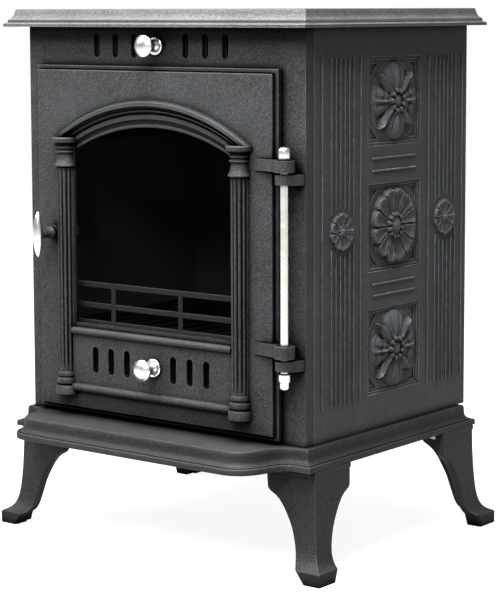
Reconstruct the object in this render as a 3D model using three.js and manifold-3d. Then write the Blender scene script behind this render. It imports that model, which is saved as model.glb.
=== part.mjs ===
// A small cast-iron wood-burning stove: millimetres, +Z up, front facing -Y.
// Depths (y) are measured from the front face of the body, and the outer group
// then moves the stove so that the origin lies under the middle of its bounds.
import * as THREE from 'three';
import { mergeVertices } from 'three/addons/utils/BufferGeometryUtils.js';
import Module from 'manifold-3d';

const wasm = await Module();
wasm.setup();

// ---------- driving dimensions ----------
const GAP = 0.3; // clearance between neighbouring castings

const BODY_HALF_WIDTH = 193;
const BODY_DEPTH = 307;
const BODY_BOTTOM = 138;
const BODY_TOP = 570.5;
const WALL = 6;
const FRONT_RETURN = 14.3; // how far the front casting wraps round the sides

const TOP_Z = 590;
const TOP_SIDE = 17.3; // overhangs of the top plate
const TOP_FRONT = 24.8;
const TOP_REAR = 14.5;
const BLANK_Y = 225;
const BLANK_RADIUS = 62;
const BLANK_HEIGHT = 5;
const TOP_STEPS = [
  { inset: 3, z0: BODY_TOP + GAP, z1: 573 },
  { inset: 0, z0: 573, z1: 579 },
  { inset: 3.5, z0: 579, z1: 583 },
  { inset: 7, z0: 583, z1: 586.5 },
  { inset: 9, z0: 586.5, z1: TOP_Z },
];
const TOP_POCKET = { half: 186, y0: 7, y1: 300, roof: 579 };

const BASE_BOTTOM = 115;
const BASE_SIDE = 15.5;
const BASE_FRONT = 14.6;
const APRON_FRONT = -71;
const APRON_SHIFT = -2; // the apron sits a little towards the latch side
const BASE_STEPS = [
  { inset: 0, z0: BASE_BOTTOM, z1: 121 },
  { inset: 3.5, z0: 121, z1: 126 },
  { inset: 7.5, z0: 126, z1: 131 },
  { inset: 11, z0: 131, z1: BODY_BOTTOM },
];
const BASE_POCKETS = [
  { x0: -128, x1: 128, y0: 12, y1: 290 },
  { x0: -192, x1: 192, y0: 78, y1: 225 },
  { x0: -140, x1: 140, y0: APRON_FRONT + 14, y1: 14 },
];
const BASE_POCKET_ROOF = 130;

const LEG_X = 208;
const LEG_FRONT_Y = -4;
const LEG_REAR_Y = 302;
const LEG_WIDTH = 65;
const LEG_THICK = 9;
const TOE_REACH = 19.3;
const TOE_HEIGHT = 13;
const ANKLE_HEIGHT = 24;
const SOLE_WIDTH = 8; // of each wing where it meets the floor
const ANKLE_WIDTH = 22;
const LEG_WEB_BOTTOM = 106;
const LEG_SWEEP = [[26, 34, 30, 52, 40, 68], [46, 79, 58, 84, LEG_WIDTH, 90]];

const OPENING = { left: -153, right: 143, bottom: 164, top: 510 };

const DOOR_X = -5.5; // middle of the door
const DOOR_HALF = 171.5;
const DOOR_BOTTOM = 142;
const DOOR_TOP = 532;
const DOOR_STEP = 6.5; // width of the stepped rim
const RIM_Y = -8;
const FACE_Y = -12;
const LOWER_FACE_Y = -15;
const DOOR_BACK = -1.2;
const POCKET_Y = -5.5;
const WINDOW_HALF = 111;
const WINDOW_BOTTOM = 243;
const WINDOW_SPRING = 437.5; // where the window's arch starts
const WINDOW_RISE = 26;
const ARCH = { half: 140, spring: 447.5, rise: 46, innerHalf: 107, innerRise: 26.5, y: -18 };
const COLUMN_OFFSET = 123.3;
const COLUMN_RADIUS = 10.5;
const COLUMN_FOOT = 162;
const COLUMN_TOP = 449;
const GLASS = { half: 118, z0: 237, z1: 472, y0: -7.6, y1: -3.6 };
const ROPE = { inset: 9.5, width: 6, seatY: -6.2, frontY: -5.9 };
const DOOR_POCKET = { half: 145, bottom: 174, top: 504 };
const LOWER_PANEL = { half: 113, bottom: 170, top: 236 };
const SILL_ROLL = { z: 234.5, radius: 4.5 };
const FOOT_ROLL = { z: 170.5, radius: 5 };

const AIR_UPPER_X = -1.5;
const AIR_UPPER_Z = 550.8;
const AIR_UPPER_OFFSETS = [36, 63, 90];
const AIR_LOWER_X = -6;
const AIR_LOWER_Z = 203.5;
const AIR_LOWER_OFFSETS = [33, 56, 79];
const UPPER_SLOT = { width: 8.6, height: 26.5 };
const LOWER_SLOT = { width: 9, height: 30 };
const KNOB_SLOT = { width: 22, height: 9.5 };
const KNOB_SLOT_UPPER_X = -1;
const KNOB_UPPER_X = -7;
const KNOB_LOWER_X = -0.1;
const SLIDER_THICK = 3;

const HINGE_X = 177.6;
const HINGE_Y = -16;
const ROD_RADIUS = 4.3;
const BORE_RADIUS = 4.8;
const DOOR_LUGS = [{ z: 424.5, height: 12 }, { z: 232.7, height: 12.8 }];
const BODY_LUGS = [{ z: 408.2, height: 15.8 }, { z: 216.9, height: 15.3 }];
const BODY_KNUCKLE = 9.6;
const DOOR_KNUCKLE = 11;
const STRAP_END_X = 141; // middle of the round end of a door strap
const STRAP_FRONT_Y = -23;

const HANDLE_X = -143;
const HANDLE_Z = 342.5;
const HANDLE_Y = -43;
const HANDLE_BORE = 5;
const HANDLE_BOSS = { radius: 8.5, y: -20 };
const GRIP = { radius: 6, half: 25.7, steps: 10, power: 0.62 };
const CAM = { y: WALL + 0.8, thick: 4, hub: 7.5, tongueHalf: 5.5, reach: 24, bore: 4.9 };
const LATCH_NUT_RADIUS = 8;

const FLUE_Z = 478;
const FLUE_RADIUS = 60;
const FLUE_BORE = 54;
const FLUE_END = 351;
const FLANGE_RADIUS = 80;
const FLANGE_THICK = 8;
const COLLAR_BOLT_ANGLES = [90, 210, 330].map((degrees) => (degrees * Math.PI) / 180);
const COLLAR_BOLT_RING = 70;
const COLLAR_BOLT_HOLE = 3.6;

const TIE_ROD = { x: 178, top: 578.7, radius: 4, nutRadius: 7, nutTop: 145 };
const TIE_ROWS = [['front', 22], ['rear', 291]];
const HEARTH = { front: 32, rear: 280, brickTop: 440 }; // the space for the fire
const BEARER = { top: 228, thick: 8, inner: 152 };
const SIDE_BRICK_INNER = 164;
const REAR_BRICK = { half: 163.6, front: 256 };
const RUNNER = { inner: 100, outer: 116, front: 20, rear: 275, top: 166 };
const GRATE = { half: 162, thick: 10, pitch: 24, slotHalf: 6, outerSlot: 132 };
const GRATE_ROWS = [[46, 140], [152, 246]];
const PAN = { half: 120, front: 26, rear: 270, wall: 2, floor: 168.5, top: 212, lipFront: 20, lip: 2.5 };
const BAFFLE = { half: 162, side: [[96, 486], [268, 440.6], [278, 440.6], [278, 447], [96, 494]] };
const AIR_DUCT = { half: 165, rear: 43, low: 470, top: 515, sheet: 3 };
const GUARD = { left: -162, right: 152, y0: 7.5, y1: 12.5, bottom: 238.5, top: 287.3 };
const GUARD_RAILS = [[279.7, GUARD.top], [256.9, 264.2], [GUARD.bottom, 243.6]];
const GUARD_UPRIGHTS = [GUARD.left + 4, -78.5, 18.4, 115.3, GUARD.right - 4];
const GUARD_UPRIGHT_HALF = 3.6;

// The apron and the flue collar are the front and rear ends of the stove.
const CENTRE_Y = (APRON_FRONT + FLUE_END) / 2;

// ---------- materials ----------
function material(color, roughness, metalness) {
  return new THREE.MeshStandardMaterial({ color, roughness, metalness });
}
const castIron = material(0x55575a, 0.72, 0.35);
const nickel = material(0xe9e6e1, 0.18, 1.0);
const blackSteel = material(0x2a2b2d, 0.5, 0.6);
const ceramicGlass = material(0x050505, 0.06, 0.0);
const sealRope = material(0x8d8c86, 0.95, 0.0);
const fireBrick = material(0xb9a888, 0.95, 0.0);
const zincSteel = material(0x9a9c9f, 0.4, 0.9);

// ---------- solids ----------
function solid(geometry) {
  const bare = geometry.clone();
  bare.deleteAttribute('normal');
  bare.deleteAttribute('uv');
  const merged = mergeVertices(bare, 1e-4);
  return new wasm.Manifold(new wasm.Mesh({
    numProp: 3,
    vertProperties: new Float32Array(merged.attributes.position.array),
    triVerts: new Uint32Array(merged.index.array),
  }));
}

function geometryOf(manifold) {
  const mesh = manifold.getMesh();
  const geometry = new THREE.BufferGeometry();
  const corners = new Float32Array(mesh.vertProperties);
  geometry.setAttribute('position', new THREE.BufferAttribute(corners, 3));
  geometry.setIndex(new THREE.BufferAttribute(new Uint32Array(mesh.triVerts), 1));
  geometry.computeVertexNormals();
  return geometry;
}

function join(solids) {
  return solids.reduce((sum, next) => sum.add(next));
}

function box(x0, x1, y0, y1, z0, z1) {
  const geometry = new THREE.BoxGeometry(x1 - x0, y1 - y0, z1 - z0);
  geometry.translate((x0 + x1) / 2, (y0 + y1) / 2, (z0 + z1) / 2);
  return solid(geometry);
}

// A box from `near` to `far` on one side of the stove's middle: side is -1 or 1.
function sideBox(side, near, far, y0, y1, z0, z1) {
  return box(Math.min(side * near, side * far), Math.max(side * near, side * far), y0, y1, z0, z1);
}

function extruded(shape, depth, curveSegments) {
  return new THREE.ExtrudeGeometry(shape, { depth, bevelEnabled: false, curveSegments });
}

// A plan outline (x, y) standing from z0 to z1.
function standing(shape, z0, z1, curveSegments = 12) {
  const geometry = extruded(shape, z1 - z0, curveSegments);
  geometry.translate(0, 0, z0);
  return solid(geometry);
}

// A front outline (x, z) running back from y0 to y1.
function facing(shape, y0, y1, curveSegments = 12) {
  const geometry = extruded(shape, y1 - y0, curveSegments);
  geometry.rotateX(Math.PI / 2);
  geometry.translate(0, y1, 0);
  return solid(geometry);
}

// A side outline (y, z) running across from x0 to x1.
function across(shape, x0, x1, curveSegments = 12) {
  const geometry = extruded(shape, x1 - x0, curveSegments);
  geometry.rotateX(Math.PI / 2);
  geometry.rotateZ(Math.PI / 2);
  geometry.translate(x0, 0, 0);
  return solid(geometry);
}

function cylinderZ(x, y, z0, z1, radius, segments = 32) {
  const geometry = new THREE.CylinderGeometry(radius, radius, z1 - z0, segments);
  geometry.rotateX(Math.PI / 2);
  geometry.translate(x, y, (z0 + z1) / 2);
  return solid(geometry);
}

function cylinderY(x, z, y0, y1, radius, segments = 32) {
  const geometry = new THREE.CylinderGeometry(radius, radius, y1 - y0, segments);
  geometry.translate(x, (y0 + y1) / 2, z);
  return solid(geometry);
}

function cylinderX(y, z, x0, x1, radius, segments = 16) {
  const geometry = new THREE.CylinderGeometry(radius, radius, x1 - x0, segments);
  geometry.rotateZ(Math.PI / 2);
  geometry.translate((x0 + x1) / 2, y, z);
  return solid(geometry);
}

// A turned solid about +Z; the profile lists [radius, height] from the axis to the axis.
function turned(profile, segments = 32) {
  const points = profile.map(([radius, height]) => new THREE.Vector2(radius, height));
  const geometry = new THREE.LatheGeometry(points, segments);
  geometry.rotateX(Math.PI / 2);
  return geometry;
}

function outline(points) {
  return new THREE.Shape(points.map(([x, y]) => new THREE.Vector2(x, y)));
}

function rectangle(x0, x1, y0, y1) {
  return outline([[x0, y0], [x1, y0], [x1, y1], [x0, y1]]);
}

// A round-ended slot standing upright in the front outline.
function uprightSlot(x, z, width, height) {
  const radius = width / 2;
  const reach = height / 2 - radius;
  const shape = new THREE.Shape();
  shape.moveTo(x + radius, z - reach);
  shape.lineTo(x + radius, z + reach);
  shape.absarc(x, z + reach, radius, 0, Math.PI, false);
  shape.lineTo(x - radius, z - reach);
  shape.absarc(x, z - reach, radius, Math.PI, 2 * Math.PI, false);
  return shape;
}

function levelSlot(x, z, width, height) {
  const radius = height / 2;
  const reach = width / 2 - radius;
  const shape = new THREE.Shape();
  shape.moveTo(x - reach, z - radius);
  shape.lineTo(x + reach, z - radius);
  shape.absarc(x + reach, z, radius, -Math.PI / 2, Math.PI / 2, false);
  shape.lineTo(x - reach, z + radius);
  shape.absarc(x - reach, z, radius, Math.PI / 2, Math.PI * 1.5, false);
  return shape;
}

// ---------- scene graph ----------
const stove = new THREE.Group();
stove.position.y = -CENTRE_Y;

function place(name, shape, surface, position = [0, 0, 0], rotation = [0, 0, 0]) {
  const geometry = shape.isBufferGeometry ? shape : geometryOf(shape);
  const mesh = new THREE.Mesh(geometry, surface);
  mesh.name = name;
  mesh.position.set(...position);
  mesh.rotation.set(...rotation);
  stove.add(mesh);
  return mesh;
}

// ---------- base plate and legs ----------
// Plan of the base with its bowed apron, drawn in by `inset` on every side. The apron
// leaves the straight front 190 mm from its middle and its nose is 276 mm wide.
function basePlan(inset) {
  const half = BODY_HALF_WIDTH + BASE_SIDE - inset;
  const front = -BASE_FRONT + inset;
  const rear = BODY_DEPTH - inset;
  const apron = APRON_FRONT + inset;
  const left = (reach) => APRON_SHIFT - reach + inset;
  const right = (reach) => APRON_SHIFT + reach - inset;
  const [high, middle, low] = [-30, -45, -60].map((y) => y + inset);
  const shape = new THREE.Shape();
  shape.moveTo(-half, rear);
  shape.lineTo(-half, front);
  shape.lineTo(left(190), front);
  shape.bezierCurveTo(left(178), front, left(175), high, left(171), middle);
  shape.bezierCurveTo(left(166), low, left(155), apron, left(138), apron);
  shape.lineTo(right(138), apron);
  shape.bezierCurveTo(right(155), apron, right(166), low, right(171), middle);
  shape.bezierCurveTo(right(175), high, right(178), front, right(190), front);
  shape.lineTo(half, front);
  shape.lineTo(half, rear);
  shape.closePath();
  return shape;
}

const legCorners = [
  { name: 'front_right', x: LEG_X, y: LEG_FRONT_Y, turn: 0 },
  { name: 'rear_right', x: LEG_X, y: LEG_REAR_Y, turn: Math.PI / 2 },
  { name: 'rear_left', x: -LEG_X, y: LEG_REAR_Y, turn: Math.PI },
  { name: 'front_left', x: -LEG_X, y: LEG_FRONT_Y, turn: -Math.PI / 2 },
];
const LEG_BOLT_INSET = 30; // from the leg's outer corner
const LEG_BOLT_RADIUS = 4;
const LEG_BOLT_TOP = 128;
const LEG_BOLT_CLEARANCE = 0.6;

function legBoltPlace(corner) {
  const inward = [-LEG_BOLT_INSET, LEG_BOLT_INSET];
  const cos = Math.cos(corner.turn);
  const sin = Math.sin(corner.turn);
  return [
    corner.x + inward[0] * cos - inward[1] * sin,
    corner.y + inward[0] * sin + inward[1] * cos,
  ];
}

function basePlate() {
  let plate = join(BASE_STEPS.map(({ inset, z0, z1 }) => standing(basePlan(inset), z0, z1, 8)));
  for (const { x0, x1, y0, y1 } of BASE_POCKETS) {
    plate = plate.subtract(box(x0, x1, y0, y1, BASE_BOTTOM - 1, BASE_POCKET_ROOF));
  }
  const holeRadius = LEG_BOLT_RADIUS + LEG_BOLT_CLEARANCE;
  for (const corner of legCorners) {
    const [x, y] = legBoltPlace(corner);
    plate = plate.subtract(cylinderZ(x, y, BASE_BOTTOM - 1, LEG_BOLT_TOP + GAP, holeRadius, 20));
  }
  return plate;
}

// One wing of the angle-shaped leg; the outline runs `sign` * distance from the corner.
function legWing(sign) {
  const top = BASE_BOTTOM - GAP;
  const shape = new THREE.Shape();
  shape.moveTo(0, top);
  shape.lineTo(0, 0);
  shape.lineTo(sign * SOLE_WIDTH, 0);
  shape.lineTo(sign * ANKLE_WIDTH, TOE_HEIGHT);
  for (const [ax, az, bx, bz, endX, endZ] of LEG_SWEEP) {
    shape.bezierCurveTo(sign * ax, az, sign * bx, bz, sign * endX, endZ);
  }
  shape.lineTo(sign * LEG_WIDTH, top);
  shape.closePath();
  return shape;
}

function leg() {
  const front = facing(legWing(-1), 0, LEG_THICK, 6);
  const side = across(legWing(1), -LEG_THICK, 0, 6);
  const innerCorner = [-LEG_THICK, LEG_THICK];
  const toeFlat = 27; // length of the toe's front and side edges
  const toe = standing(outline([
    [-ANKLE_WIDTH, 0], [TOE_REACH - toeFlat, -TOE_REACH], [TOE_REACH, -TOE_REACH],
    [TOE_REACH, toeFlat - TOE_REACH], [0, ANKLE_WIDTH], innerCorner,
  ]), 0, TOE_HEIGHT);
  const bulge = 8; // how far the ankle stands out past the corner
  const ankle = standing(outline([
    [-24, 0], [-bulge, -bulge], [bulge, -bulge], [bulge, bulge], [0, 24], innerCorner,
  ]), TOE_HEIGHT, ANKLE_HEIGHT);
  const webReach = LEG_WIDTH - 8;
  const web = box(-webReach, -2, 2, webReach, LEG_WEB_BOTTOM, BASE_BOTTOM - GAP);
  const holeRadius = LEG_BOLT_RADIUS + LEG_BOLT_CLEARANCE;
  const boltHole = cylinderZ(-LEG_BOLT_INSET, LEG_BOLT_INSET, 100, 120, holeRadius, 20);
  return join([front, side, toe, ankle, web]).subtract(boltHole);
}

// A hexagon-headed bolt pointing up, its head's seat at z = 0.
function bolt(headRadius, headHeight, radius, length) {
  const head = cylinderZ(0, 0, -headHeight, 0, headRadius, 6);
  const shank = cylinderZ(0, 0, -1, length, radius, 20);
  return head.add(shank);
}

place('base_plate', basePlate(), castIron);
for (const corner of legCorners) {
  place(`leg_${corner.name}`, leg(), castIron, [corner.x, corner.y, 0], [0, 0, corner.turn]);
  const [x, y] = legBoltPlace(corner);
  const seat = LEG_WEB_BOTTOM - GAP;
  const shape = bolt(7, 5.3, LEG_BOLT_RADIUS, LEG_BOLT_TOP - seat);
  place(`leg_bolt_${corner.name}`, shape, zincSteel, [x, y, seat]);
}

// ---------- top plate ----------
function topPlan(inset) {
  const half = BODY_HALF_WIDTH + TOP_SIDE - inset;
  return rectangle(-half, half, -TOP_FRONT + inset, BODY_DEPTH + TOP_REAR - inset);
}

function topPlate() {
  const plate = join(TOP_STEPS.map(({ inset, z0, z1 }) => standing(topPlan(inset), z0, z1)));
  const { half, y0, y1, roof } = TOP_POCKET;
  const pocket = box(-half, half, y0, y1, BODY_TOP - 1, roof);
  const outlet = cylinderZ(0, BLANK_Y, BODY_TOP - 1, TOP_Z + 1, BLANK_RADIUS - 8, 40);
  const seat = cylinderZ(0, BLANK_Y, TOP_Z - BLANK_HEIGHT, TOP_Z + 1, BLANK_RADIUS, 40);
  return plate.subtract(pocket).subtract(outlet).subtract(seat);
}

place('top_plate', topPlate(), castIron);
const blankRadius = BLANK_RADIUS - GAP;
const blankTop = BLANK_HEIGHT - GAP;
const blankProfile = [
  [0, 0], [blankRadius, 0], [blankRadius, 4], [blankRadius - 0.7, blankTop], [0, blankTop],
];
place('flue_blank', turned(blankProfile, 40), castIron, [0, BLANK_Y, TOP_Z - blankTop]);

// ---------- body panels ----------
function bodyLug({ z, height }) {
  const knuckle = cylinderZ(HINGE_X, HINGE_Y, z, z + height, BODY_KNUCKLE, 32);
  const reach = BODY_KNUCKLE - 0.2;
  const root = standing(outline([
    [HINGE_X - reach, HINGE_Y - 2], [HINGE_X + reach, HINGE_Y - 2],
    [BODY_HALF_WIDTH - 1, 0.5], [HINGE_X - reach, 0.5],
  ]), z, z + height);
  return knuckle.add(root);
}

function frontPanel() {
  const z0 = BODY_BOTTOM + GAP;
  const plate = box(-BODY_HALF_WIDTH, BODY_HALF_WIDTH, 0, WALL, z0, BODY_TOP);
  const returns = [-1, 1].map((side) => (
    sideBox(side, BODY_HALF_WIDTH - WALL, BODY_HALF_WIDTH, WALL - 1, FRONT_RETURN, z0, BODY_TOP)
  ));
  let panel = join([plate, ...returns, ...BODY_LUGS.map(bodyLug)]);
  for (const { z, height } of BODY_LUGS) {
    panel = panel.subtract(cylinderZ(HINGE_X, HINGE_Y, z - 1, z + height + 1, BORE_RADIUS, 32));
  }
  const { left, right, bottom, top } = OPENING;
  panel = panel.subtract(box(left, right, -1, WALL + 1, bottom, top));
  for (const offset of AIR_UPPER_OFFSETS) {
    for (const side of [-1, 1]) {
      const x = AIR_UPPER_X + side * offset;
      const slot = uprightSlot(x, AIR_UPPER_Z, UPPER_SLOT.width, UPPER_SLOT.height);
      panel = panel.subtract(facing(slot, -1, WALL + 1, 6));
    }
  }
  const knobSlot = levelSlot(KNOB_SLOT_UPPER_X, AIR_UPPER_Z, KNOB_SLOT.width, KNOB_SLOT.height);
  return panel.subtract(facing(knobSlot, -1, WALL + 1, 6));
}

place('front_panel', frontPanel(), castIron);
for (const [name, side] of [['left', -1], ['right', 1]]) {
  const inner = BODY_HALF_WIDTH - WALL;
  const [y0, z0] = [FRONT_RETURN + GAP, BODY_BOTTOM + GAP];
  const panel = sideBox(side, inner, BODY_HALF_WIDTH, y0, BODY_DEPTH, z0, BODY_TOP);
  place(`side_panel_${name}`, panel, castIron);
}

const BACK_HALF = BODY_HALF_WIDTH - WALL - GAP;

function boltRing(y0, y1) {
  return COLLAR_BOLT_ANGLES.map((angle) => {
    const x = COLLAR_BOLT_RING * Math.cos(angle);
    const z = FLUE_Z + COLLAR_BOLT_RING * Math.sin(angle);
    return cylinderY(x, z, y0, y1, COLLAR_BOLT_HOLE, 20);
  });
}

function backPanel() {
  const inside = BODY_DEPTH - WALL;
  const plate = box(-BACK_HALF, BACK_HALF, inside, BODY_DEPTH, BODY_BOTTOM + GAP, BODY_TOP);
  const cuts = [
    cylinderY(0, FLUE_Z, inside - 1, BODY_DEPTH + 1, FLUE_BORE, 40),
    ...boltRing(inside - 1, BODY_DEPTH + 1),
  ];
  return cuts.reduce((left, cut) => left.subtract(cut), plate);
}

function flueCollar() {
  const y0 = BODY_DEPTH + GAP;
  const flange = cylinderY(0, FLUE_Z, y0, y0 + FLANGE_THICK, FLANGE_RADIUS, 48);
  const spigot = cylinderY(0, FLUE_Z, y0, FLUE_END, FLUE_RADIUS, 48);
  const cuts = [
    cylinderY(0, FLUE_Z, y0 - 1, FLUE_END + 1, FLUE_BORE, 40),
    ...boltRing(y0 - 1, y0 + FLANGE_THICK + 1),
  ];
  return cuts.reduce((left, cut) => left.subtract(cut), flange.add(spigot));
}

place('back_panel', backPanel(), castIron);
place('flue_collar', flueCollar(), castIron);
COLLAR_BOLT_ANGLES.forEach((angle, index) => {
  const x = COLLAR_BOLT_RING * Math.cos(angle);
  const z = FLUE_Z + COLLAR_BOLT_RING * Math.sin(angle);
  const seat = BODY_DEPTH + FLANGE_THICK + 2 * GAP;
  const name = `collar_bolt_${index + 1}`;
  place(name, bolt(6.5, 5, 3, 16), zincSteel, [x, seat, z], [Math.PI / 2, 0, 0]);
});

// ---------- inside the body ----------
for (const [row, y] of TIE_ROWS) {
  for (const [name, side] of [['left', -1], ['right', 1]]) {
    const rod = cylinderZ(0, 0, BODY_BOTTOM + GAP, TIE_ROD.top, TIE_ROD.radius, 20);
    const nut = cylinderZ(0, 0, BODY_BOTTOM + GAP, TIE_ROD.nutTop, TIE_ROD.nutRadius, 6);
    place(`tie_rod_${row}_${name}`, rod.add(nut), zincSteel, [side * TIE_ROD.x, y, 0]);
  }
}

for (const [name, side] of [['left', -1], ['right', 1]]) {
  const { front, rear, brickTop } = HEARTH;
  const outer = BODY_HALF_WIDTH - WALL - GAP;
  const bearerZ = BEARER.top - BEARER.thick;
  const bearer = sideBox(side, BEARER.inner, outer, front, rear, bearerZ, BEARER.top);
  place(`grate_bearer_${name}`, bearer, castIron);
  const brickZ = BEARER.top + GAP;
  const brick = sideBox(side, SIDE_BRICK_INNER, outer, front, rear, brickZ, brickTop);
  place(`fire_brick_${name}`, brick, fireBrick);
  const runnerZ = BODY_BOTTOM + GAP;
  const runner = sideBox(
    side, RUNNER.inner, RUNNER.outer, RUNNER.front, RUNNER.rear, runnerZ, RUNNER.top,
  );
  place(`ash_pan_runner_${name}`, runner, castIron);
}

function rearBrick() {
  const z0 = BEARER.top + GRATE.thick + 2 * GAP;
  const { half, front } = REAR_BRICK;
  return box(-half, half, front, HEARTH.rear, z0, HEARTH.brickTop);
}
place('fire_brick_rear', rearBrick(), fireBrick);

function grate() {
  const z0 = BEARER.top + GAP;
  const z1 = BEARER.top + GRATE.thick;
  let plate = box(-GRATE.half, GRATE.half, HEARTH.front, HEARTH.rear, z0, z1);
  for (let x = -GRATE.outerSlot; x <= GRATE.outerSlot; x += GRATE.pitch) {
    for (const [y0, y1] of GRATE_ROWS) {
      plate = plate.subtract(box(x - GRATE.slotHalf, x + GRATE.slotHalf, y0, y1, z0 - 1, z1 + 1));
    }
  }
  return plate;
}
place('grate', grate(), castIron);

function ashPan() {
  const { half, front, rear, wall, floor, top, lipFront, lip } = PAN;
  const outer = box(-half, half, front, rear, RUNNER.top + GAP, top);
  const hollow = box(wall - half, half - wall, front + wall, rear - wall, floor, top + 1);
  const rim = box(-half, half, lipFront, front + wall, top - lip, top);
  return outer.subtract(hollow).add(rim);
}
place('ash_pan', ashPan(), blackSteel);
place('baffle_plate', across(outline(BAFFLE.side), -BAFFLE.half, BAFFLE.half), castIron);

// Bent sheet that turns the upper air down over the glass.
function airDuct() {
  const { half, rear, low, top, sheet } = AIR_DUCT;
  const front = WALL + GAP;
  const inner = rear - sheet;
  const side = outline([
    [front, top - sheet], [inner, top - sheet], [inner, low], [rear, low], [rear, top], [front, top],
  ]);
  return across(side, -half, half);
}
place('air_wash_plate', airDuct(), blackSteel);

function logGuard() {
  const { left, right, y0, y1, bottom, top } = GUARD;
  const rails = GUARD_RAILS.map(([z0, z1]) => box(left, right, y0, y1, z0, z1));
  const uprights = GUARD_UPRIGHTS.map((x) => (
    box(x - GUARD_UPRIGHT_HALF, x + GUARD_UPRIGHT_HALF, y0, y1, bottom, top)
  ));
  return join([...rails, ...uprights]);
}
place('log_guard', logGuard(), castIron);

// ---------- sliding air controls ----------
// A flat plate with windows that line up with the slots of the casting in front of it.
function sliderPlate({ centre, z, offsets, slot: size, y0, y1, half, height }) {
  let plate = box(centre - half, centre + half, y0, y1, z - height / 2, z + height / 2);
  for (const offset of offsets) {
    for (const side of [-1, 1]) {
      const slot = uprightSlot(centre + side * offset, z, size.width, size.height);
      plate = plate.subtract(facing(slot, y0 - 1, y1 + 1, 6));
    }
  }
  return plate;
}

// A turned knob on a pin: collar, waist and domed head, pointing along +Z from the panel.
function airKnob(pinLength) {
  const profile = [
    [0, -pinLength], [4.2, -pinLength], [4.2, 0.4], [10, 0.4], [10, 2], [6.5, 4.2], [4, 9],
    [4.2, 14], [7, 17.2], [11.4, 18.6], [12, 20.4], [11, 22.6], [7.5, 24.6], [0, 25.6],
  ];
  return turned(profile, 32);
}

const KNOB_FORWARD = [Math.PI / 2, 0, 0]; // turns a knob drawn along +Z to point forward

place('upper_air_slider', sliderPlate({
  centre: AIR_UPPER_X,
  z: AIR_UPPER_Z,
  offsets: AIR_UPPER_OFFSETS,
  slot: { width: 9, height: 27 },
  y0: WALL + GAP,
  y1: WALL + SLIDER_THICK,
  half: 108,
  height: 35,
}), blackSteel);
place('upper_air_knob', airKnob(WALL), nickel, [KNOB_UPPER_X, 0, AIR_UPPER_Z], KNOB_FORWARD);

place('lower_air_slider', sliderPlate({
  centre: AIR_LOWER_X,
  z: AIR_LOWER_Z,
  offsets: AIR_LOWER_OFFSETS,
  slot: { width: 9.6, height: 31 },
  y0: POCKET_Y + GAP,
  y1: POCKET_Y + GAP + SLIDER_THICK,
  half: 98,
  height: 40,
}), blackSteel);
const lowerPin = POCKET_Y - LOWER_FACE_Y;
const lowerSeat = [KNOB_LOWER_X, LOWER_FACE_Y, AIR_LOWER_Z];
place('lower_air_knob', airKnob(lowerPin), nickel, lowerSeat, KNOB_FORWARD);

// ---------- door ----------
function column(side) {
  const profile = [
    [0, COLUMN_FOOT], [13.5, COLUMN_FOOT], [13.5, 171], [11, 173], [12, 176.5], [11, 180],
    [10, 183], [COLUMN_RADIUS, 187], [COLUMN_RADIUS, 417], [12.5, 419], [11, 426], [12.5, 434],
    [12.5, 441], [14.5, 443.5], [15.5, COLUMN_TOP], [0, COLUMN_TOP],
  ];
  const x = DOOR_X + side * COLUMN_OFFSET;
  const whole = solid(turned(profile, 24).translate(x, FACE_Y, 0));
  return whole.intersect(box(x - 20, x + 20, FACE_Y - 20, RIM_Y - 1, COLUMN_FOOT - 1, COLUMN_TOP + 1));
}

// The circle whose top spans `half` either side of the door's middle and rises `rise`.
function bow(half, spring, rise) {
  const radius = (half * half + rise * rise) / (2 * rise);
  return { half, spring, radius, angle: Math.asin(half / radius), centre: spring + rise - radius };
}

// The crescent-shaped moulding between the arch's outer and inner bows.
function archBand() {
  const outer = bow(ARCH.half, ARCH.spring, ARCH.rise);
  const inner = bow(ARCH.innerHalf, WINDOW_SPRING, ARCH.innerRise);
  const up = Math.PI / 2;
  const shape = new THREE.Shape();
  shape.moveTo(DOOR_X + outer.half, outer.spring);
  shape.absarc(DOOR_X, outer.centre, outer.radius, up - outer.angle, up + outer.angle, false);
  shape.lineTo(DOOR_X - inner.half, inner.spring);
  shape.absarc(DOOR_X, inner.centre, inner.radius, up + inner.angle, up - inner.angle, true);
  shape.closePath();
  return shape;
}

function windowShape() {
  const { radius, angle, centre } = bow(WINDOW_HALF, WINDOW_SPRING, WINDOW_RISE);
  const up = Math.PI / 2;
  const shape = new THREE.Shape();
  shape.moveTo(DOOR_X - WINDOW_HALF, WINDOW_BOTTOM);
  shape.lineTo(DOOR_X + WINDOW_HALF, WINDOW_BOTTOM);
  shape.lineTo(DOOR_X + WINDOW_HALF, WINDOW_SPRING);
  shape.absarc(DOOR_X, centre, radius, up - angle, up + angle, false);
  shape.closePath();
  return shape;
}

function doorLug({ z, height }) {
  const knuckle = cylinderZ(HINGE_X, HINGE_Y, z, z + height, DOOR_KNUCKLE, 32);
  const middle = z + height / 2;
  const half = height / 2;
  const strap = new THREE.Shape();
  strap.moveTo(HINGE_X, middle - half);
  strap.lineTo(HINGE_X, middle + half);
  strap.lineTo(STRAP_END_X, middle + half);
  strap.absarc(STRAP_END_X, middle, half, Math.PI / 2, Math.PI * 1.5, false);
  return knuckle.add(facing(strap, STRAP_FRONT_Y, RIM_Y - 0.5, 8));
}

// Left, right, bottom and top of the door's outline drawn in by `inset`.
function doorFrame(inset) {
  const half = DOOR_HALF - inset;
  return [DOOR_X - half, DOOR_X + half, DOOR_BOTTOM + inset, DOOR_TOP - inset];
}

function ring(outerInset, innerInset, y0, y1) {
  const [x0, x1, z0, z1] = doorFrame(outerInset);
  const [a0, a1, c0, c1] = doorFrame(innerInset);
  return box(x0, x1, y0, y1, z0, z1).subtract(box(a0, a1, y0 - 1, y1 + 1, c0, c1));
}

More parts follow.
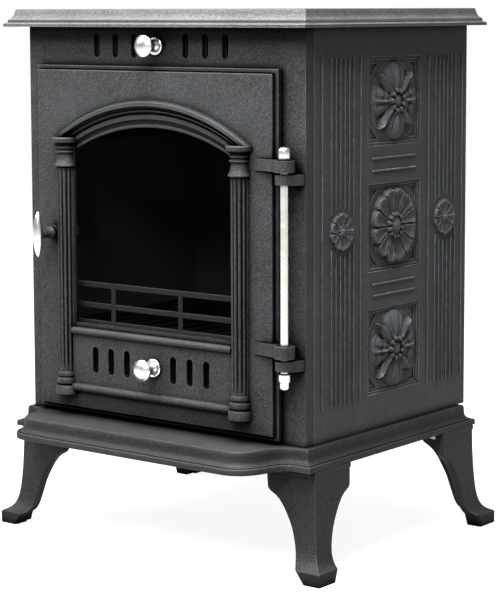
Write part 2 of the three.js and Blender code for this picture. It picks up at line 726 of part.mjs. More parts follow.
function door() {
  const [x0, x1, z0, z1] = doorFrame(0);
  const [f0, f1, g0, g1] = doorFrame(DOOR_STEP);
  const panelLeft = DOOR_X - LOWER_PANEL.half;
  const panelRight = DOOR_X + LOWER_PANEL.half;
  const parts = [
    box(x0, x1, RIM_Y, DOOR_BACK, z0, z1),
    box(f0, f1, FACE_Y, RIM_Y + 1, g0, g1),
    facing(archBand(), ARCH.y, FACE_Y + 1, 10),
    box(panelLeft, panelRight, LOWER_FACE_Y, FACE_Y + 1, LOWER_PANEL.bottom, LOWER_PANEL.top),
    cylinderX(LOWER_FACE_Y, SILL_ROLL.z, panelLeft, panelRight, SILL_ROLL.radius),
    cylinderX(LOWER_FACE_Y + 1, FOOT_ROLL.z, panelLeft, panelRight, FOOT_ROLL.radius),
    column(-1),
    column(1),
    cylinderY(HANDLE_X, HANDLE_Z, HANDLE_BOSS.y, FACE_Y + 1, HANDLE_BOSS.radius, 24),
    ...DOOR_LUGS.map(doorLug),
  ];
  let casting = join(parts);
  for (const { z, height } of DOOR_LUGS) {
    const bore = cylinderZ(HINGE_X, HINGE_Y, z - 1, z + height + 1, BORE_RADIUS, 32);
    casting = casting.subtract(bore);
  }
  casting = casting.subtract(facing(windowShape(), -30, 1, 8));
  const pocket = DOOR_POCKET;
  const pane = GLASS.half + 1;
  const recesses = [
    box(DOOR_X - pocket.half, DOOR_X + pocket.half, POCKET_Y, 1, pocket.bottom, pocket.top),
    box(DOOR_X - pane, DOOR_X + pane, RIM_Y, 1, GLASS.z0 - 1, GLASS.z1 + 1),
    ring(ROPE.inset, ROPE.inset + ROPE.width, ROPE.seatY, 1),
  ];
  for (const recess of recesses) {
    casting = casting.subtract(recess);
  }
  for (const offset of AIR_LOWER_OFFSETS) {
    for (const side of [-1, 1]) {
      const x = AIR_LOWER_X + side * offset;
      const slot = uprightSlot(x, AIR_LOWER_Z, LOWER_SLOT.width, LOWER_SLOT.height);
      casting = casting.subtract(facing(slot, -30, 1, 6));
    }
  }
  const knobSlot = levelSlot(AIR_LOWER_X, AIR_LOWER_Z, KNOB_SLOT.width, KNOB_SLOT.height);
  casting = casting.subtract(facing(knobSlot, -30, 1, 6));
  return casting.subtract(cylinderY(HANDLE_X, HANDLE_Z, -30, 1, HANDLE_BORE, 24));
}

place('door', door(), castIron);

function glassPane() {
  const { half, y0, y1, z0, z1 } = GLASS;
  return box(DOOR_X - half, DOOR_X + half, y0, y1, z0, z1);
}
place('door_glass', glassPane(), ceramicGlass);

const ropeInner = ROPE.inset + ROPE.width - GAP;
place('door_rope', ring(ROPE.inset + GAP, ropeInner, ROPE.frontY, -GAP), sealRope);

function glassClip() {
  const blade = box(-8, 8, 0, 2, -11, 11);
  const foot = box(-8, 8, -1.3, 2, 2.6, 11);
  return blade.add(foot);
}
const clipY = GLASS.y1 + GAP;
const clips = [
  { name: 'top_left', x: -70, z: GLASS.z1, turn: 0 },
  { name: 'top_right', x: 70, z: GLASS.z1, turn: 0 },
  { name: 'bottom_left', x: -70, z: GLASS.z0, turn: Math.PI },
  { name: 'bottom_right', x: 70, z: GLASS.z0, turn: Math.PI },
];
for (const { name, x, z, turn } of clips) {
  place(`glass_clip_${name}`, glassClip(), zincSteel, [DOOR_X + x, clipY, z], [0, turn, 0]);
}

// ---------- door handle and latch ----------
const spindleProfile = [
  [0, -17], [4.4, -17], [4.4, 20.4], [7.2, 20.4], [7.2, 25], [5.2, 28], [4.8, 36.5], [0, 36.5],
];
const spindle = turned(spindleProfile, 24);
place('handle_spindle', spindle, castIron, [HANDLE_X, 0, HANDLE_Z], [Math.PI / 2, 0, 0]);

// The grip is a slim upright spindle shape, pointed at both ends.
function grip() {
  const { radius, half, steps, power } = GRIP;
  const points = [];
  for (let i = 0; i <= steps; i += 1) {
    const t = -1 + (2 * i) / steps;
    points.push([radius * Math.pow(Math.max(0, 1 - t * t), power), t * half]);
  }
  return turned(points, 24);
}
place('handle_knob', grip(), nickel, [HANDLE_X, HANDLE_Y, HANDLE_Z]);

function camBore() {
  return cylinderY(0, 0, -1, CAM.thick + 1, CAM.bore, 24);
}

function latchCam() {
  const hub = cylinderY(0, 0, 0, CAM.thick, CAM.hub, 24);
  const tongue = box(-CAM.tongueHalf, CAM.tongueHalf, 0, CAM.thick, 0, CAM.reach);
  return hub.add(tongue).subtract(camBore());
}
place('latch_cam', latchCam(), blackSteel, [HANDLE_X, CAM.y, HANDLE_Z]);

const nut = cylinderY(0, 0, 0, CAM.thick, LATCH_NUT_RADIUS, 6).subtract(camBore());
place('latch_nut', nut, zincSteel, [HANDLE_X, CAM.y + CAM.thick + GAP, HANDLE_Z]);

// ---------- hinge ----------
const rodBottom = BODY_LUGS[1].z;
const rodTop = DOOR_LUGS[0].z + DOOR_LUGS[0].height;
const rod = cylinderZ(0, 0, rodBottom + GAP, rodTop + GAP, ROD_RADIUS, 32);
place('hinge_rod', rod, nickel, [HINGE_X, HINGE_Y, 0]);
const acorn = [[0, 0], [6.2, 0], [6.2, 2.5], [4.6, 3.6], [6.4, 7], [5.6, 10.2], [2.8, 12.6], [0, 13.2]];
place('hinge_finial_top', turned(acorn, 24), nickel, [HINGE_X, HINGE_Y, rodTop + 2 * GAP]);
const drop = acorn.map(([radius, height]) => [radius, -height * 1.3]).reverse();
place('hinge_finial_bottom', turned(drop, 24), nickel, [HINGE_X, HINGE_Y, rodBottom - GAP]);

export default stove;
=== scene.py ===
import math

import bmesh
import bpy
from mathutils import Matrix, Vector


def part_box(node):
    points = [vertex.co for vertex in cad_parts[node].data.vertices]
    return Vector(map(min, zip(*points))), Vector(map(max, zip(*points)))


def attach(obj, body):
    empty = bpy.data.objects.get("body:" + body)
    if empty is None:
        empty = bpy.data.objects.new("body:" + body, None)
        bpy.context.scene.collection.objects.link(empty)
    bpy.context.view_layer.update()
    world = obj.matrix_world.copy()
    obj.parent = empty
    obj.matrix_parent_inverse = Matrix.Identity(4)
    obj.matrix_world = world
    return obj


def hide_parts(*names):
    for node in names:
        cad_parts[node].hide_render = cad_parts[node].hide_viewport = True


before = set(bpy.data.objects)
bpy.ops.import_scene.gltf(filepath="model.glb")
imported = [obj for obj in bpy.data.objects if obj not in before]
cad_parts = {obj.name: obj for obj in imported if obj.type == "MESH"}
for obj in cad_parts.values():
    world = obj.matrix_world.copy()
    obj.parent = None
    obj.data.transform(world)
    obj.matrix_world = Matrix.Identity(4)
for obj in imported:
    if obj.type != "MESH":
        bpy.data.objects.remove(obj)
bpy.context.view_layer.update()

MM = 0.001
FULL_TURN = math.tau

# Shapes are worked in millimetres: x across, y back from the body's front face, z up.
FRONT_RETURN = 14.6  # the front casting's return and the joint behind it
FRONT_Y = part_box("side_panel_right")[0].y / MM - FRONT_RETURN


def stove_box(node):
    low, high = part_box(node)
    shift = Vector((0, FRONT_Y, 0))
    return low / MM - shift, high / MM - shift


def middle(node):
    low, high = stove_box(node)
    return (low + high) / 2


# ---------- finishes ----------
class Finish:
    """A node-built finish whose patterns follow the piece's own coordinates."""

    def __init__(self, name, roughness, metallic=0.0):
        self.surface = bpy.data.materials.new(name)
        self.surface.use_nodes = True
        self.tree = self.surface.node_tree
        self.shader = self.tree.nodes["Principled BSDF"]
        self.shader.inputs["Roughness"].default_value = roughness
        self.shader.inputs["Metallic"].default_value = metallic
        self.place = self.node("ShaderNodeMapping")
        self.link(self.node("ShaderNodeTexCoord").outputs["Object"], self.place.inputs["Vector"])

    def node(self, kind):
        return self.tree.nodes.new(kind)

    def link(self, source, target):
        self.tree.links.new(source, target)

    def noise(self, scale, detail=2.0, stretch=None):
        texture = self.node("ShaderNodeTexNoise")
        texture.inputs["Scale"].default_value = scale
        texture.inputs["Detail"].default_value = detail
        place = self.place
        if stretch:
            place = self.node("ShaderNodeMapping")
            place.inputs["Scale"].default_value = stretch
            self.link(self.place.outputs["Vector"], place.inputs["Vector"])
        self.link(place.outputs["Vector"], texture.inputs["Vector"])
        return texture.outputs["Fac"]

    def spread(self, source, low, high, out_low=0.0, out_high=1.0):
        """Stretches the range low..high of a pattern over out_low..out_high."""
        reach = self.node("ShaderNodeMapRange")
        sockets = ("From Min", "From Max", "To Min", "To Max")
        for socket, value in zip(sockets, (low, high, out_low, out_high)):
            reach.inputs[socket].default_value = value
        self.link(source, reach.inputs["Value"])
        return reach.outputs["Result"]

    def times(self, one, two):
        product = self.node("ShaderNodeMath")
        product.operation = "MULTIPLY"
        self.link(one, product.inputs[0])
        self.link(two, product.inputs[1])
        return product.outputs["Value"]

    def blend(self, amount, one, two):
        mix = self.node("ShaderNodeMix")
        mix.data_type = "RGBA"
        self.link(amount, mix.inputs["Factor"])
        for socket, value in (("A", one), ("B", two)):
            target = next(s for s in mix.inputs if s.name == socket and s.type == "RGBA")
            if isinstance(value, tuple):
                target.default_value = (*value, 1.0)
            else:
                self.link(value, target)
        return next(s for s in mix.outputs if s.type == "RGBA")

    def edges(self, radius):
        """1 along the edges of a piece and 0 on its flats: a mask for worn paint and painted highlight."""
        rounded = self.node("ShaderNodeBevel")
        rounded.samples = 4
        rounded.inputs["Radius"].default_value = radius
        dot = self.node("ShaderNodeVectorMath")
        dot.operation = "DOT_PRODUCT"
        self.link(rounded.outputs["Normal"], dot.inputs[0])
        self.link(self.node("ShaderNodeNewGeometry").outputs["Normal"], dot.inputs[1])
        return self.spread(dot.outputs["Value"], 0.992, 0.90)

    def unshaded_share(self, distance, low=0.45, high=0.95):
        """1 on open faces and 0 deep in corners and grooves: an ambient-occlusion mask for painting shade
        into colour.
        """
        hidden = self.node("ShaderNodeAmbientOcclusion")
        hidden.samples = 6
        hidden.inputs["Distance"].default_value = distance
        return self.spread(hidden.outputs["AO"], low, high)

    def colour(self, source):
        self.link(source, self.shader.inputs["Base Color"])

    def roughness(self, source):
        self.link(source, self.shader.inputs["Roughness"])

    def bumps(self, *layers):
        normal = None
        for source, strength, distance in layers:
            bump = self.node("ShaderNodeBump")
            bump.inputs["Strength"].default_value = strength
            bump.inputs["Distance"].default_value = distance
            self.link(source, bump.inputs["Height"])
            if normal:
                self.link(normal, bump.inputs["Normal"])
            normal = bump.outputs["Normal"]
        self.link(normal, self.shader.inputs["Normal"])


def grey(value, warm=0.0):
    return (value * (1 + warm), value, value * (1 - warm))


GROOVE_SHADE_REACH = 0.007  # metres of ambient occlusion within which a groove's paint is darkened as painted shade
EDGE_WEAR_AND_HIGHLIGHT = 0.0011  # metres along a crisp edge lightened as worn paint and painted highlight
DIM_RISE = 0.0006  # metres over which the hotplate's face turns dull


def cast_paint(
    name, light, dark, painted_shade, edge, roughness=(0.5, 0.66), warm=-0.06, corner=(0.45, 0.95), shade=0.030,
    shine=0.2, dim_above=None,
):
    """Matt stove paint over a sand-cast face: grainy, thin and pale on edges as worn paint and painted
    highlight, with painted shade darkening recesses.

    The first two greys are the paint's own; the third is the near-black painted shade laid in grooves and
    corners, and the fourth the grey of worn paint and painted highlight along edges. A face above dim_above
    metres is duller.
    """
    finish = Finish(name, 0.6)
    grain = finish.noise(860, 3.0)
    lumps = finish.noise(240, 3.0)
    clouds = finish.noise(20, 5.0)
    tone = finish.blend(finish.spread(clouds, 0.36, 0.64), grey(dark, warm), grey(light, warm))
    tone = finish.blend(finish.spread(grain, 0.49, 0.66, 0.0, 0.9), tone, grey(light * 2.1, warm))
    tone = finish.blend(finish.spread(grain, 0.47, 0.32, 0.0, 0.85), tone, grey(dark * 0.35, warm))
    # Ambient-occlusion masks, 1 in the open and 0 in grooves and corners, that lay painted shade into the
    # colour.
    air = finish.times(finish.unshaded_share(GROOVE_SHADE_REACH, *corner), finish.unshaded_share(shade, 0.30, 0.98))
    # Open edges are lightened towards the edge grey, partly worn paint and partly a painted highlight.
    wear_and_highlight = finish.times(finish.edges(EDGE_WEAR_AND_HIGHLIGHT), finish.spread(lumps, 0.35, 0.65, 0.25, 1.0))
    tone = finish.blend(finish.times(wear_and_highlight, air), tone, grey(edge, warm))
    # Painted shade: grooves and corners are blended towards a near-black grey, and their sheen is lowered
    # below.
    tone = finish.blend(air, grey(painted_shade), tone)
    shiny = finish.spread(air, 0.0, 1.0, 0.0, shine)
    if dim_above:
        split = finish.node("ShaderNodeSeparateXYZ")
        finish.link(finish.place.outputs["Vector"], split.inputs["Vector"])
        upper = finish.spread(split.outputs["Z"], dim_above, dim_above + DIM_RISE)
        tone = finish.blend(upper, tone, grey(dark * 0.22, warm))
        shiny = finish.times(shiny, finish.spread(upper, 0.0, 1.0, 1.0, 0.15))
    finish.colour(tone)
    finish.link(shiny, finish.shader.inputs["Specular IOR Level"])
    finish.roughness(finish.spread(lumps, 0.3, 0.7, *roughness))
    finish.bumps((lumps, 0.28, 0.0008), (grain, 0.6, 0.0006))
    return finish.surface


def bright_nickel():
    finish = Finish("bright_nickel_plate", 0.26, 1.0)
    swirl = finish.noise(90, 2.0)
    polish = finish.noise(900, 2.0, (1, 1, 0.15))
    air = finish.unshaded_share(0.004)
    tone = finish.blend(finish.spread(swirl, 0.3, 0.7), (0.72, 0.70, 0.66), (0.84, 0.82, 0.78))
    # Painted shade: the plating turns dark grey in its crevices.
    finish.colour(finish.blend(air, (0.16, 0.15, 0.14), tone))
    finish.roughness(finish.spread(swirl, 0.3, 0.7, 0.22, 0.32))
    finish.bumps((polish, 0.05, 0.0002))
    return finish.surface


def shade_dimmed_glass():
    """Dark glass that passes about two thirds of the light and hardly mirrors; its black veil is painted
    shade that dims the firebox seen through it.
    """
    finish = Finish("door_glass_black", 0.04)
    finish.shader.inputs["Alpha"].default_value = 0.2
    finish.shader.inputs["Specular IOR Level"].default_value = 0.01
    finish.shader.inputs["IOR"].default_value = 1.5
    haze = finish.noise(18, 3.0)
    tone = finish.blend(finish.spread(haze, 0.3, 0.7), (0.0003, 0.0003, 0.0003), (0.0008, 0.0008, 0.0007))
    finish.colour(tone)
    finish.roughness(finish.spread(haze, 0.3, 0.7, 0.03, 0.08))
    return finish.surface


def plated_steel():
    finish = Finish("zinc_plated_steel", 0.38, 0.9)
    spangle = finish.noise(420, 2.0)
    tone = finish.blend(finish.spread(spangle, 0.35, 0.65), grey(0.26, 0.02), grey(0.42, 0.02))
    # Painted shade: the plating turns near black in its crevices.
    finish.colour(finish.blend(finish.unshaded_share(0.004), grey(0.05), tone))
    finish.roughness(finish.spread(spangle, 0.3, 0.7, 0.3, 0.5))
    finish.bumps((spangle, 0.12, 0.0002))
    return finish.surface


def sheet_steel():
    finish = Finish("black_sheet_steel", 0.5, 0.3)
    rolled = finish.noise(700, 2.0, (0.08, 1, 1))
    soot = finish.noise(30, 4.0)
    finish.colour(finish.blend(finish.spread(soot, 0.35, 0.7), grey(0.012), grey(0.03)))
    finish.roughness(finish.spread(soot, 0.3, 0.7, 0.45, 0.75))
    finish.bumps((rolled, 0.1, 0.0002))
    return finish.surface


def firebox_shade_brick():
    finish = Finish("fire_brick_painted_shade", 0.95)
    pores = finish.noise(500, 3.0)
    soot = finish.noise(16, 5.0)
    # The bricks are painted near black: painted shade standing in for the dark inside the firebox.
    tone = finish.blend(finish.spread(soot, 0.35, 0.62), grey(0.001, 0.05), (0.004, 0.003, 0.002))
    finish.colour(finish.blend(finish.spread(pores, 0.45, 0.7, 0.0, 0.5), tone, grey(0.01)))
    finish.bumps((pores, 0.6, 0.0008))
    return finish.surface


def glass_rope():
    finish = Finish("glass_fibre_rope", 0.95)
    strands = finish.noise(1500, 2.0, (1, 1, 0.35))
    stain = finish.noise(60, 3.0)
    tone = finish.blend(finish.spread(stain, 0.35, 0.65), grey(0.10, 0.02), grey(0.24, 0.03))
    finish.colour(finish.blend(finish.spread(strands, 0.4, 0.65), grey(0.05), tone))
    finish.bumps((strands, 0.8, 0.0008))
    return finish.surface


HOTPLATE_FACE = 0.5893  # metres above the ground, just under the top plate's upper face

PAINT = cast_paint("stove_paint", 0.019, 0.010, 0.0005, 0.075, shine=0.17)
# The side panels take lighter greys than the front's same paint and a far lighter edge grey: painted light
# on the sides and painted highlight on their crests.
SIDE_PAINT_LIT = cast_paint(
    "stove_paint_sides_painted_light", 0.026, 0.018, 0.002, 0.30, corner=(0.10, 0.72), shade=0.010,
)
# The flowers take lighter greys than their panel: partly worn paint on the relief and partly painted
# highlight.
FLOWER_PAINT_LIT = cast_paint(
    "stove_paint_flowers_painted_light", 0.042, 0.026, 0.0005, 0.30, corner=(0.30, 0.90), shade=0.010,
)
# The top plate takes lighter greys than the same paint on the front: painted light on its upward-facing
# slopes.
PLATE_PAINT_LIT = cast_paint("stove_paint_top_painted_light", 0.036, 0.024, 0.0005, 0.13, warm=-0.02, dim_above=HOTPLATE_FACE)
# The base plate and legs take darker greys than the same paint above: painted shade, darker towards the
# bottom.
BASE_PAINT_SHADED = cast_paint("stove_paint_base_painted_shade", 0.012, 0.007, 0.0005, 0.08, warm=-0.03, shine=0.17)
# Castings inside the firebox are painted near black: painted shade standing in for the dark inside it.
FIREBOX_SHADE = cast_paint("firebox_casting_painted_shade", 0.0012, 0.0006, 0.0003, 0.0015, (0.8, 0.95), warm=0.0, shine=0.01)
# The log guard takes much lighter greys than the stove paint it shares: painted light making up for the
# light the glass takes.
GUARD_PAINT_LIT = cast_paint(
    "log_guard_casting_painted_light", 0.082, 0.058, 0.026, 0.10, (0.7, 0.85), warm=-0.03, shine=0.05,
)
NICKEL = bright_nickel()
GLASS = shade_dimmed_glass()
ZINC = plated_steel()
SHEET = sheet_steel()
BRICK = firebox_shade_brick()
ROPE = glass_rope()


# ---------- shaping ----------
WELD = 0.002  # points nearer than this are one point
OVER = 1  # how far a cutter reaches past a face that it opens
LEAST_INSET = 0.002  # a moulding's upright steps lean by this much


def slab(bm, outline, push):
    """A flat outline pushed through a distance; returns its first and last faces."""
    first = bm.faces.new([bm.verts.new(point) for point in outline])
    made = bmesh.ops.extrude_face_region(bm, geom=[first])["geom"]
    bmesh.ops.translate(bm, verts=only(bmesh.types.BMVert, made), vec=push)
    last = only(bmesh.types.BMFace, made)[0]
    bmesh.ops.recalc_face_normals(bm, faces=bm.faces)
    return first, last


def rectangle(x0, x1, y0, y1, z=0.0):
    return [(x0, y0, z), (x1, y0, z), (x1, y1, z), (x0, y1, z)]


def block(x0, x1, y0, y1, z0, z1):
    bm = bmesh.new()
    slab(bm, rectangle(x0, x1, y0, y1, z0), (0, 0, z1 - z0))
    return bm


def only(kind, geom):
    return [part for part in geom if isinstance(part, kind)]


def mould(bm, face, profile):
    """Steps a face in along a moulding given as [inset, height] from its edge."""
    inset, height = 0.0, 0.0
    for next_inset, next_height in profile:
        bmesh.ops.inset_region(
            bm, faces=[face], thickness=max(next_inset - inset, LEAST_INSET), depth=next_height - height,
            use_even_offset=True, use_boundary=True,
        )
        inset, height = next_inset, next_height


def swept_round(points, steps):
    """A line of points carried once round Z."""
    bm = bmesh.new()
    line = [bm.verts.new(point) for point in points]
    edges = [bm.edges.new(pair) for pair in zip(line, line[1:])]
    bmesh.ops.spin(
        bm, geom=line + edges, cent=(0, 0, 0), axis=(0, 0, 1), dvec=(0, 0, 0), angle=FULL_TURN,
        steps=steps, use_merge=True,
    )
    return bm


def turned(profile, steps):
    """A turned shape about Z from [radius, height] pairs."""
    bm = swept_round([(radius, 0, height) for radius, height in profile], steps)
    clean(bm)
    return bm


def clean(bm):
    """Joins points that meet and turns every face outwards."""
    bmesh.ops.remove_doubles(bm, verts=bm.verts, dist=WELD)
    bmesh.ops.recalc_face_normals(bm, faces=bm.faces)


def rod(radius, start, end, steps):
    """A plain round bar standing on Z."""
    return turned([(0, start), (radius, start), (radius, end), (0, end)], steps)


def loft(rows):
    """A closed skin through rings of points, capped at both ends."""
    bm = bmesh.new()
    chains = []
    rings = []
    for row in rows:
        verts = [bm.verts.new(point) for point in row]
        pairs = [*zip(verts, verts[1:]), (verts[-1], verts[0])]
        chains.append([bm.edges.new(pair) for pair in pairs])
        rings.append(verts)
    for one, two in zip(chains, chains[1:]):
        bmesh.ops.bridge_loops(bm, edges=one + two)
    bm.faces.new(rings[0])
    bm.faces.new(rings[-1])
    clean(bm)
    return bm


def gather(bm, part, place=None):
    """Moves a finished part into a bigger shape."""
    if place is not None:
        bmesh.ops.transform(part, matrix=place, verts=part.verts)
        if place.determinant() < 0:
            bmesh.ops.reverse_faces(part, faces=part.faces)
    mesh = bpy.data.meshes.new("part")
    part.to_mesh(mesh)
    part.free()
    bm.from_mesh(mesh)
    bpy.data.meshes.remove(mesh)
    return bm


def shift(bm, x, y, z):
    bmesh.ops.translate(bm, verts=bm.verts, vec=(x, y, z))


def loose(bm, name):
    """An object made of a shape, which is used up."""
    mesh = bpy.data.meshes.new(name)
    bm.to_mesh(mesh)
    bm.free()
    thing = bpy.data.objects.new(name, mesh)
    bpy.context.scene.collection.objects.link(thing)
    return thing


CRISP_ANGLE = 28  # degrees between faces from which an edge gets rounded


def carve(bm, *cutters):
    """Cuts closed shapes out of a closed shape and returns what is left."""
    body = loose(bm, "blank")
    tools = [loose(cutter, "cutter") for cutter in cutters]
    for tool in tools:
        cut = body.modifiers.new("cut", "BOOLEAN")
        cut.operation = "DIFFERENCE"
        cut.solver = "EXACT"
        cut.object = tool
    bpy.context.view_layer.update()
    left = bpy.data.meshes.new_from_object(body.evaluated_get(bpy.context.evaluated_depsgraph_get()))
    out = bmesh.new()
    out.from_mesh(left)
    for thing in [body, *tools]:
        mesh = thing.data
        bpy.data.objects.remove(thing)
        bpy.data.meshes.remove(mesh)
    bpy.data.meshes.remove(left)
    return out


def soften(piece, width):
    """Rounds a piece's crisp edges as a casting's are."""
    weld = piece.modifiers.new("weld", "WELD")
    weld.merge_threshold = WELD * MM
    bevel = piece.modifiers.new("soften", "BEVEL")
    bevel.width = width * MM
    bevel.segments = 2
    bevel.limit_method = "ANGLE"
    bevel.angle_limit = math.radians(CRISP_ANGLE)
    bevel.harden_normals = True
    bevel.use_clamp_overlap = True


def finish_piece(bm, name, body, surface, replaces=(), edge=0.5, sharp=35):
    """Turns a shape into a visible piece; edge is its rounding, or 0 to crease it at a sharp angle."""
    bmesh.ops.transform(
        bm, matrix=Matrix.Scale(MM, 4) @ Matrix.Translation((0, FRONT_Y, 0)), verts=bm.verts
    )
    for face in bm.faces:
        face.smooth = True
    piece = loose(bm, name)
    if not edge:
        piece.data.set_sharp_from_angle(angle=math.radians(sharp))
    piece.data.materials.append(surface)
    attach(piece, body)
    if replaces:
        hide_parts(*replaces)
    if edge:
        soften(piece, edge)


BACKWARD = Matrix.Rotation(math.radians(-90), 4, "X")  # turns a shape's +Z to the back


def towards_front(x, y, z):
    """Places a shape made about +Z so that it points out of the stove's front."""
    return Matrix.Translation((x, y, z)) @ Matrix.Rotation(math.radians(90), 4, "X")


def arc(x, z, radius, start, end, count):
    """Points round (x, z) between two angles in degrees."""
    turn = [math.radians(start + (end - start) * i / count) for i in range(count + 1)]
    return [(x + radius * math.cos(a), z + radius * math.sin(a)) for a in turn]


def facing(points, y0, y1):
    """A front outline of [x, z] pairs running back from y0 to y1."""
    bm = bmesh.new()
    slab(bm, [(x, y0, z) for x, z in points], (0, y1 - y0, 0))
    return bm


def bezier(start, near, far, end, count):
    """Points along a curve from start to end, pulled towards near and far."""
    points = []
    for i in range(1, count + 1):
        t = i / count
        s = 1 - t
        weights = (s * s * s, 3 * s * s * t, 3 * s * t * t, t * t * t)
        pulls = list(zip(weights, (start, near, far, end)))
        points.append(tuple(sum(w * p[k] for w, p in pulls) for k in (0, 1)))
    return points


# ---------- top plate ----------
FLUE_BORE = 54  # radius of the hole in the top plate and of the bore in the collar
LID_SEAT = 62  # radius of the seat that the lid drops into
LID_SEAT_DEPTH = 5
WIDER_SLOPE = 0.38  # how much more the moulding spreads along the front and back than along the sides


def make_top_plate():
    low, high = stove_box("top_plate")
    bm = bmesh.new()
    _, top = slab(bm, rectangle(low.x, high.x, low.y, high.y, low.z), (0, 0, 0.4))
    profile = [
        (0.0, 2.8), (0.7, 3.6), (2.3, 4.2), (2.8, 4.2), (3.0, 4.6), (3.2, 7.2), (3.6, 7.9), (4.6, 8.6),
        (5.9, 10.1), (6.8, 12.0), (7.5, 14.4), (8.0, 17.0), (8.5, 18.3), (9.2, 18.8),
    ]
    mould(bm, top, profile)
    for vert in bm.verts:
        extra = WIDER_SLOPE * (high.x - abs(vert.co.x))
        vert.co.y += extra if vert.co.y < 0 else -extra
    blank = middle("flue_blank")
    pocket = block(-186, 186, 7, 300, low.z - OVER, 579)  # the hollow under the plate
    outlet = rod(FLUE_BORE, low.z - OVER, high.z + OVER, 72)
    seat = rod(LID_SEAT, high.z - LID_SEAT_DEPTH, high.z + OVER, 72)
    for cutter in (outlet, seat):
        shift(cutter, blank.x, blank.y, 0)
    bm = carve(bm, pocket, outlet, seat)
    finish_piece(bm, "top_plate_moulded", "stove_body", PLATE_PAINT_LIT, ["top_plate"], 0.5)


def make_flue_blank():
    low, high = stove_box("flue_blank")
    radius = (high.x - low.x) / 2
    rise = high.z - low.z
    groove = rise - 0.7  # the ring groove's floor and the rim's rounding
    lid = turned([
        (0, 0), (radius - 0.6, 0), (radius, 0.6), (radius, groove), (radius - 0.7, rise),
        (radius - 6, rise), (radius - 6.8, groove), (radius - 8, groove), (radius - 8.8, rise), (0, rise),
    ], 96)
    slot = facing([(-9, -2), (9, -2), (9, 2), (-9, 2)], 0, 3)  # for the lifting tool
    place = Matrix.Translation((0, 0, rise + OVER)) @ BACKWARD
    bmesh.ops.transform(slot, matrix=place, verts=slot.verts)
    lid = carve(lid, slot)
    centre = middle("flue_blank")
    shift(lid, centre.x, centre.y, low.z)
    finish_piece(lid, "flue_blank_lid", "stove_body", PLATE_PAINT_LIT, ["flue_blank"], 0.3)


# ---------- base plate ----------
APRON_SHIFT = 4  # how far left of the middle the bowed apron is set


def base_outline(low, high):
    """The base from above, with a bowed apron in front of the door."""
    ledge = -14.6  # front edge of the base either side of the apron
    half = high.x
    right = [(188, ledge)]
    right += bezier((188, ledge), (176, ledge), (173, -30), (169, -45), 12)
    right += bezier((169, -45), (164, -60), (153, low.y), (136, low.y), 12)
    left = [(-x - APRON_SHIFT, y) for x, y in reversed(right)]
    return [(half, high.y), (half, ledge), *right, *left, (-half, ledge), (-half, high.y)]


def make_base_plate():
    low, high = stove_box("base_plate")
    bm = bmesh.new()
    first, top = slab(bm, [(x, y, low.z) for x, y in base_outline(low, high)], (0, 0, 0.8))
    if top.normal.z < 0:
        top = first
    profile = [
        (0.0, 4.2), (0.5, 5.2), (1.5, 5.8), (2.7, 5.8), (2.9, 5.0), (3.5, 5.0), (3.8, 6.6), (5.2, 7.0),
        (6.8, 8.0), (8.2, 9.8), (8.9, 12.0), (9.1, 15.2), (9.2, 18.0), (9.5, 20.2), (10.2, 21.6),
        (11.4, 22.2),
    ]
    mould(bm, top, profile)
    floor_z = low.z - OVER
    ceiling = 130
    pockets = [
        block(-128, 128, 12, 290, floor_z, ceiling),  # front to back, between the legs
        block(-192, 192, 78, 225, floor_z, ceiling),  # side to side, between the legs
        block(-140, 140, low.y + 14, 14, floor_z, ceiling),  # under the apron
    ]
    bm = carve(bm, *pockets)
    finish_piece(bm, "base_plate_moulded", "stove_body", BASE_PAINT_SHADED, ["base_plate"], 0.4)


# ---------- legs ----------
# Height, outward lean of the corner, reach of the face wing and of the side wing, wall.
LEG_ROWS = [
    (114.7, 0.8, 65.0, 65.0, 10.0), (110.6, 0.8, 65.0, 65.0, 10.0), (109.2, 0.0, 64.3, 64.3, 9.0),
    (103.5, 0.0, 64.0, 64.3, 9.0), (91.5, 0.2, 63.0, 63.8, 9.0), (88.8, 0.3, 61.0, 61.8, 9.0),
    (84.5, 0.4, 53.0, 54.0, 9.0), (80.6, 0.6, 47.8, 49.0, 9.0), (73.0, 0.9, 41.5, 43.0, 9.0),
    (65.7, 1.2, 37.0, 38.6, 9.0), (58.5, 1.7, 32.9, 34.6, 9.0), (51.4, 2.2, 29.6, 31.2, 9.0),
    (42.0, 3.1, 26.6, 28.0, 9.0), (33.6, 4.3, 24.2, 25.4, 9.0), (27.0, 6.0, 22.4, 23.6, 9.4),
    (22.0, 8.2, 20.8, 22.2, 10.2), (18.5, 11.0, 19.0, 20.6, 11.8), (16.2, 14.4, 16.6, 18.4, 14.4),
    (14.2, 18.6, 13.6, 16.0, 18.0), (13.2, 19.2, 12.9, 15.4, 19.0), (0.5, 19.2, 3.4, 11.2, 18.0),
    (0.0, 18.8, 3.0, 10.8, 17.6),
]


def leg_shape():
    """A leg in its corner's own frame: x runs out from the corner along the front, y back."""
    rows = []
    chamfer = 2.2  # at the tip of each wing
    for height, lean, face, side, wall in LEG_ROWS:
        near = -lean
        rows.append([
            (lean, near, height),
            (chamfer - face, near, height), (-face, near + chamfer, height), (-face, near + wall, height),
            (lean - wall, near + wall, height),
            (lean - wall, side, height), (lean - chamfer, side, height), (lean, side - chamfer, height),
        ])
    return loft(rows)


def make_leg(name, mirror_x, mirror_y):
    low, high = stove_box("leg_" + name)
    foot = 19.3  # how far the toe stands out past the leg's corner
    x = high.x - foot if mirror_x > 0 else low.x + foot
    y = low.y + foot if mirror_y > 0 else high.y - foot
    place = Matrix.Translation((x, y, 0)) @ Matrix.Diagonal((mirror_x, mirror_y, 1, 1))
    bm = gather(bmesh.new(), leg_shape(), place)
    finish_piece(bm, "leg_flared_" + name, "stove_body", BASE_PAINT_SHADED, ["leg_" + name], 0.7)


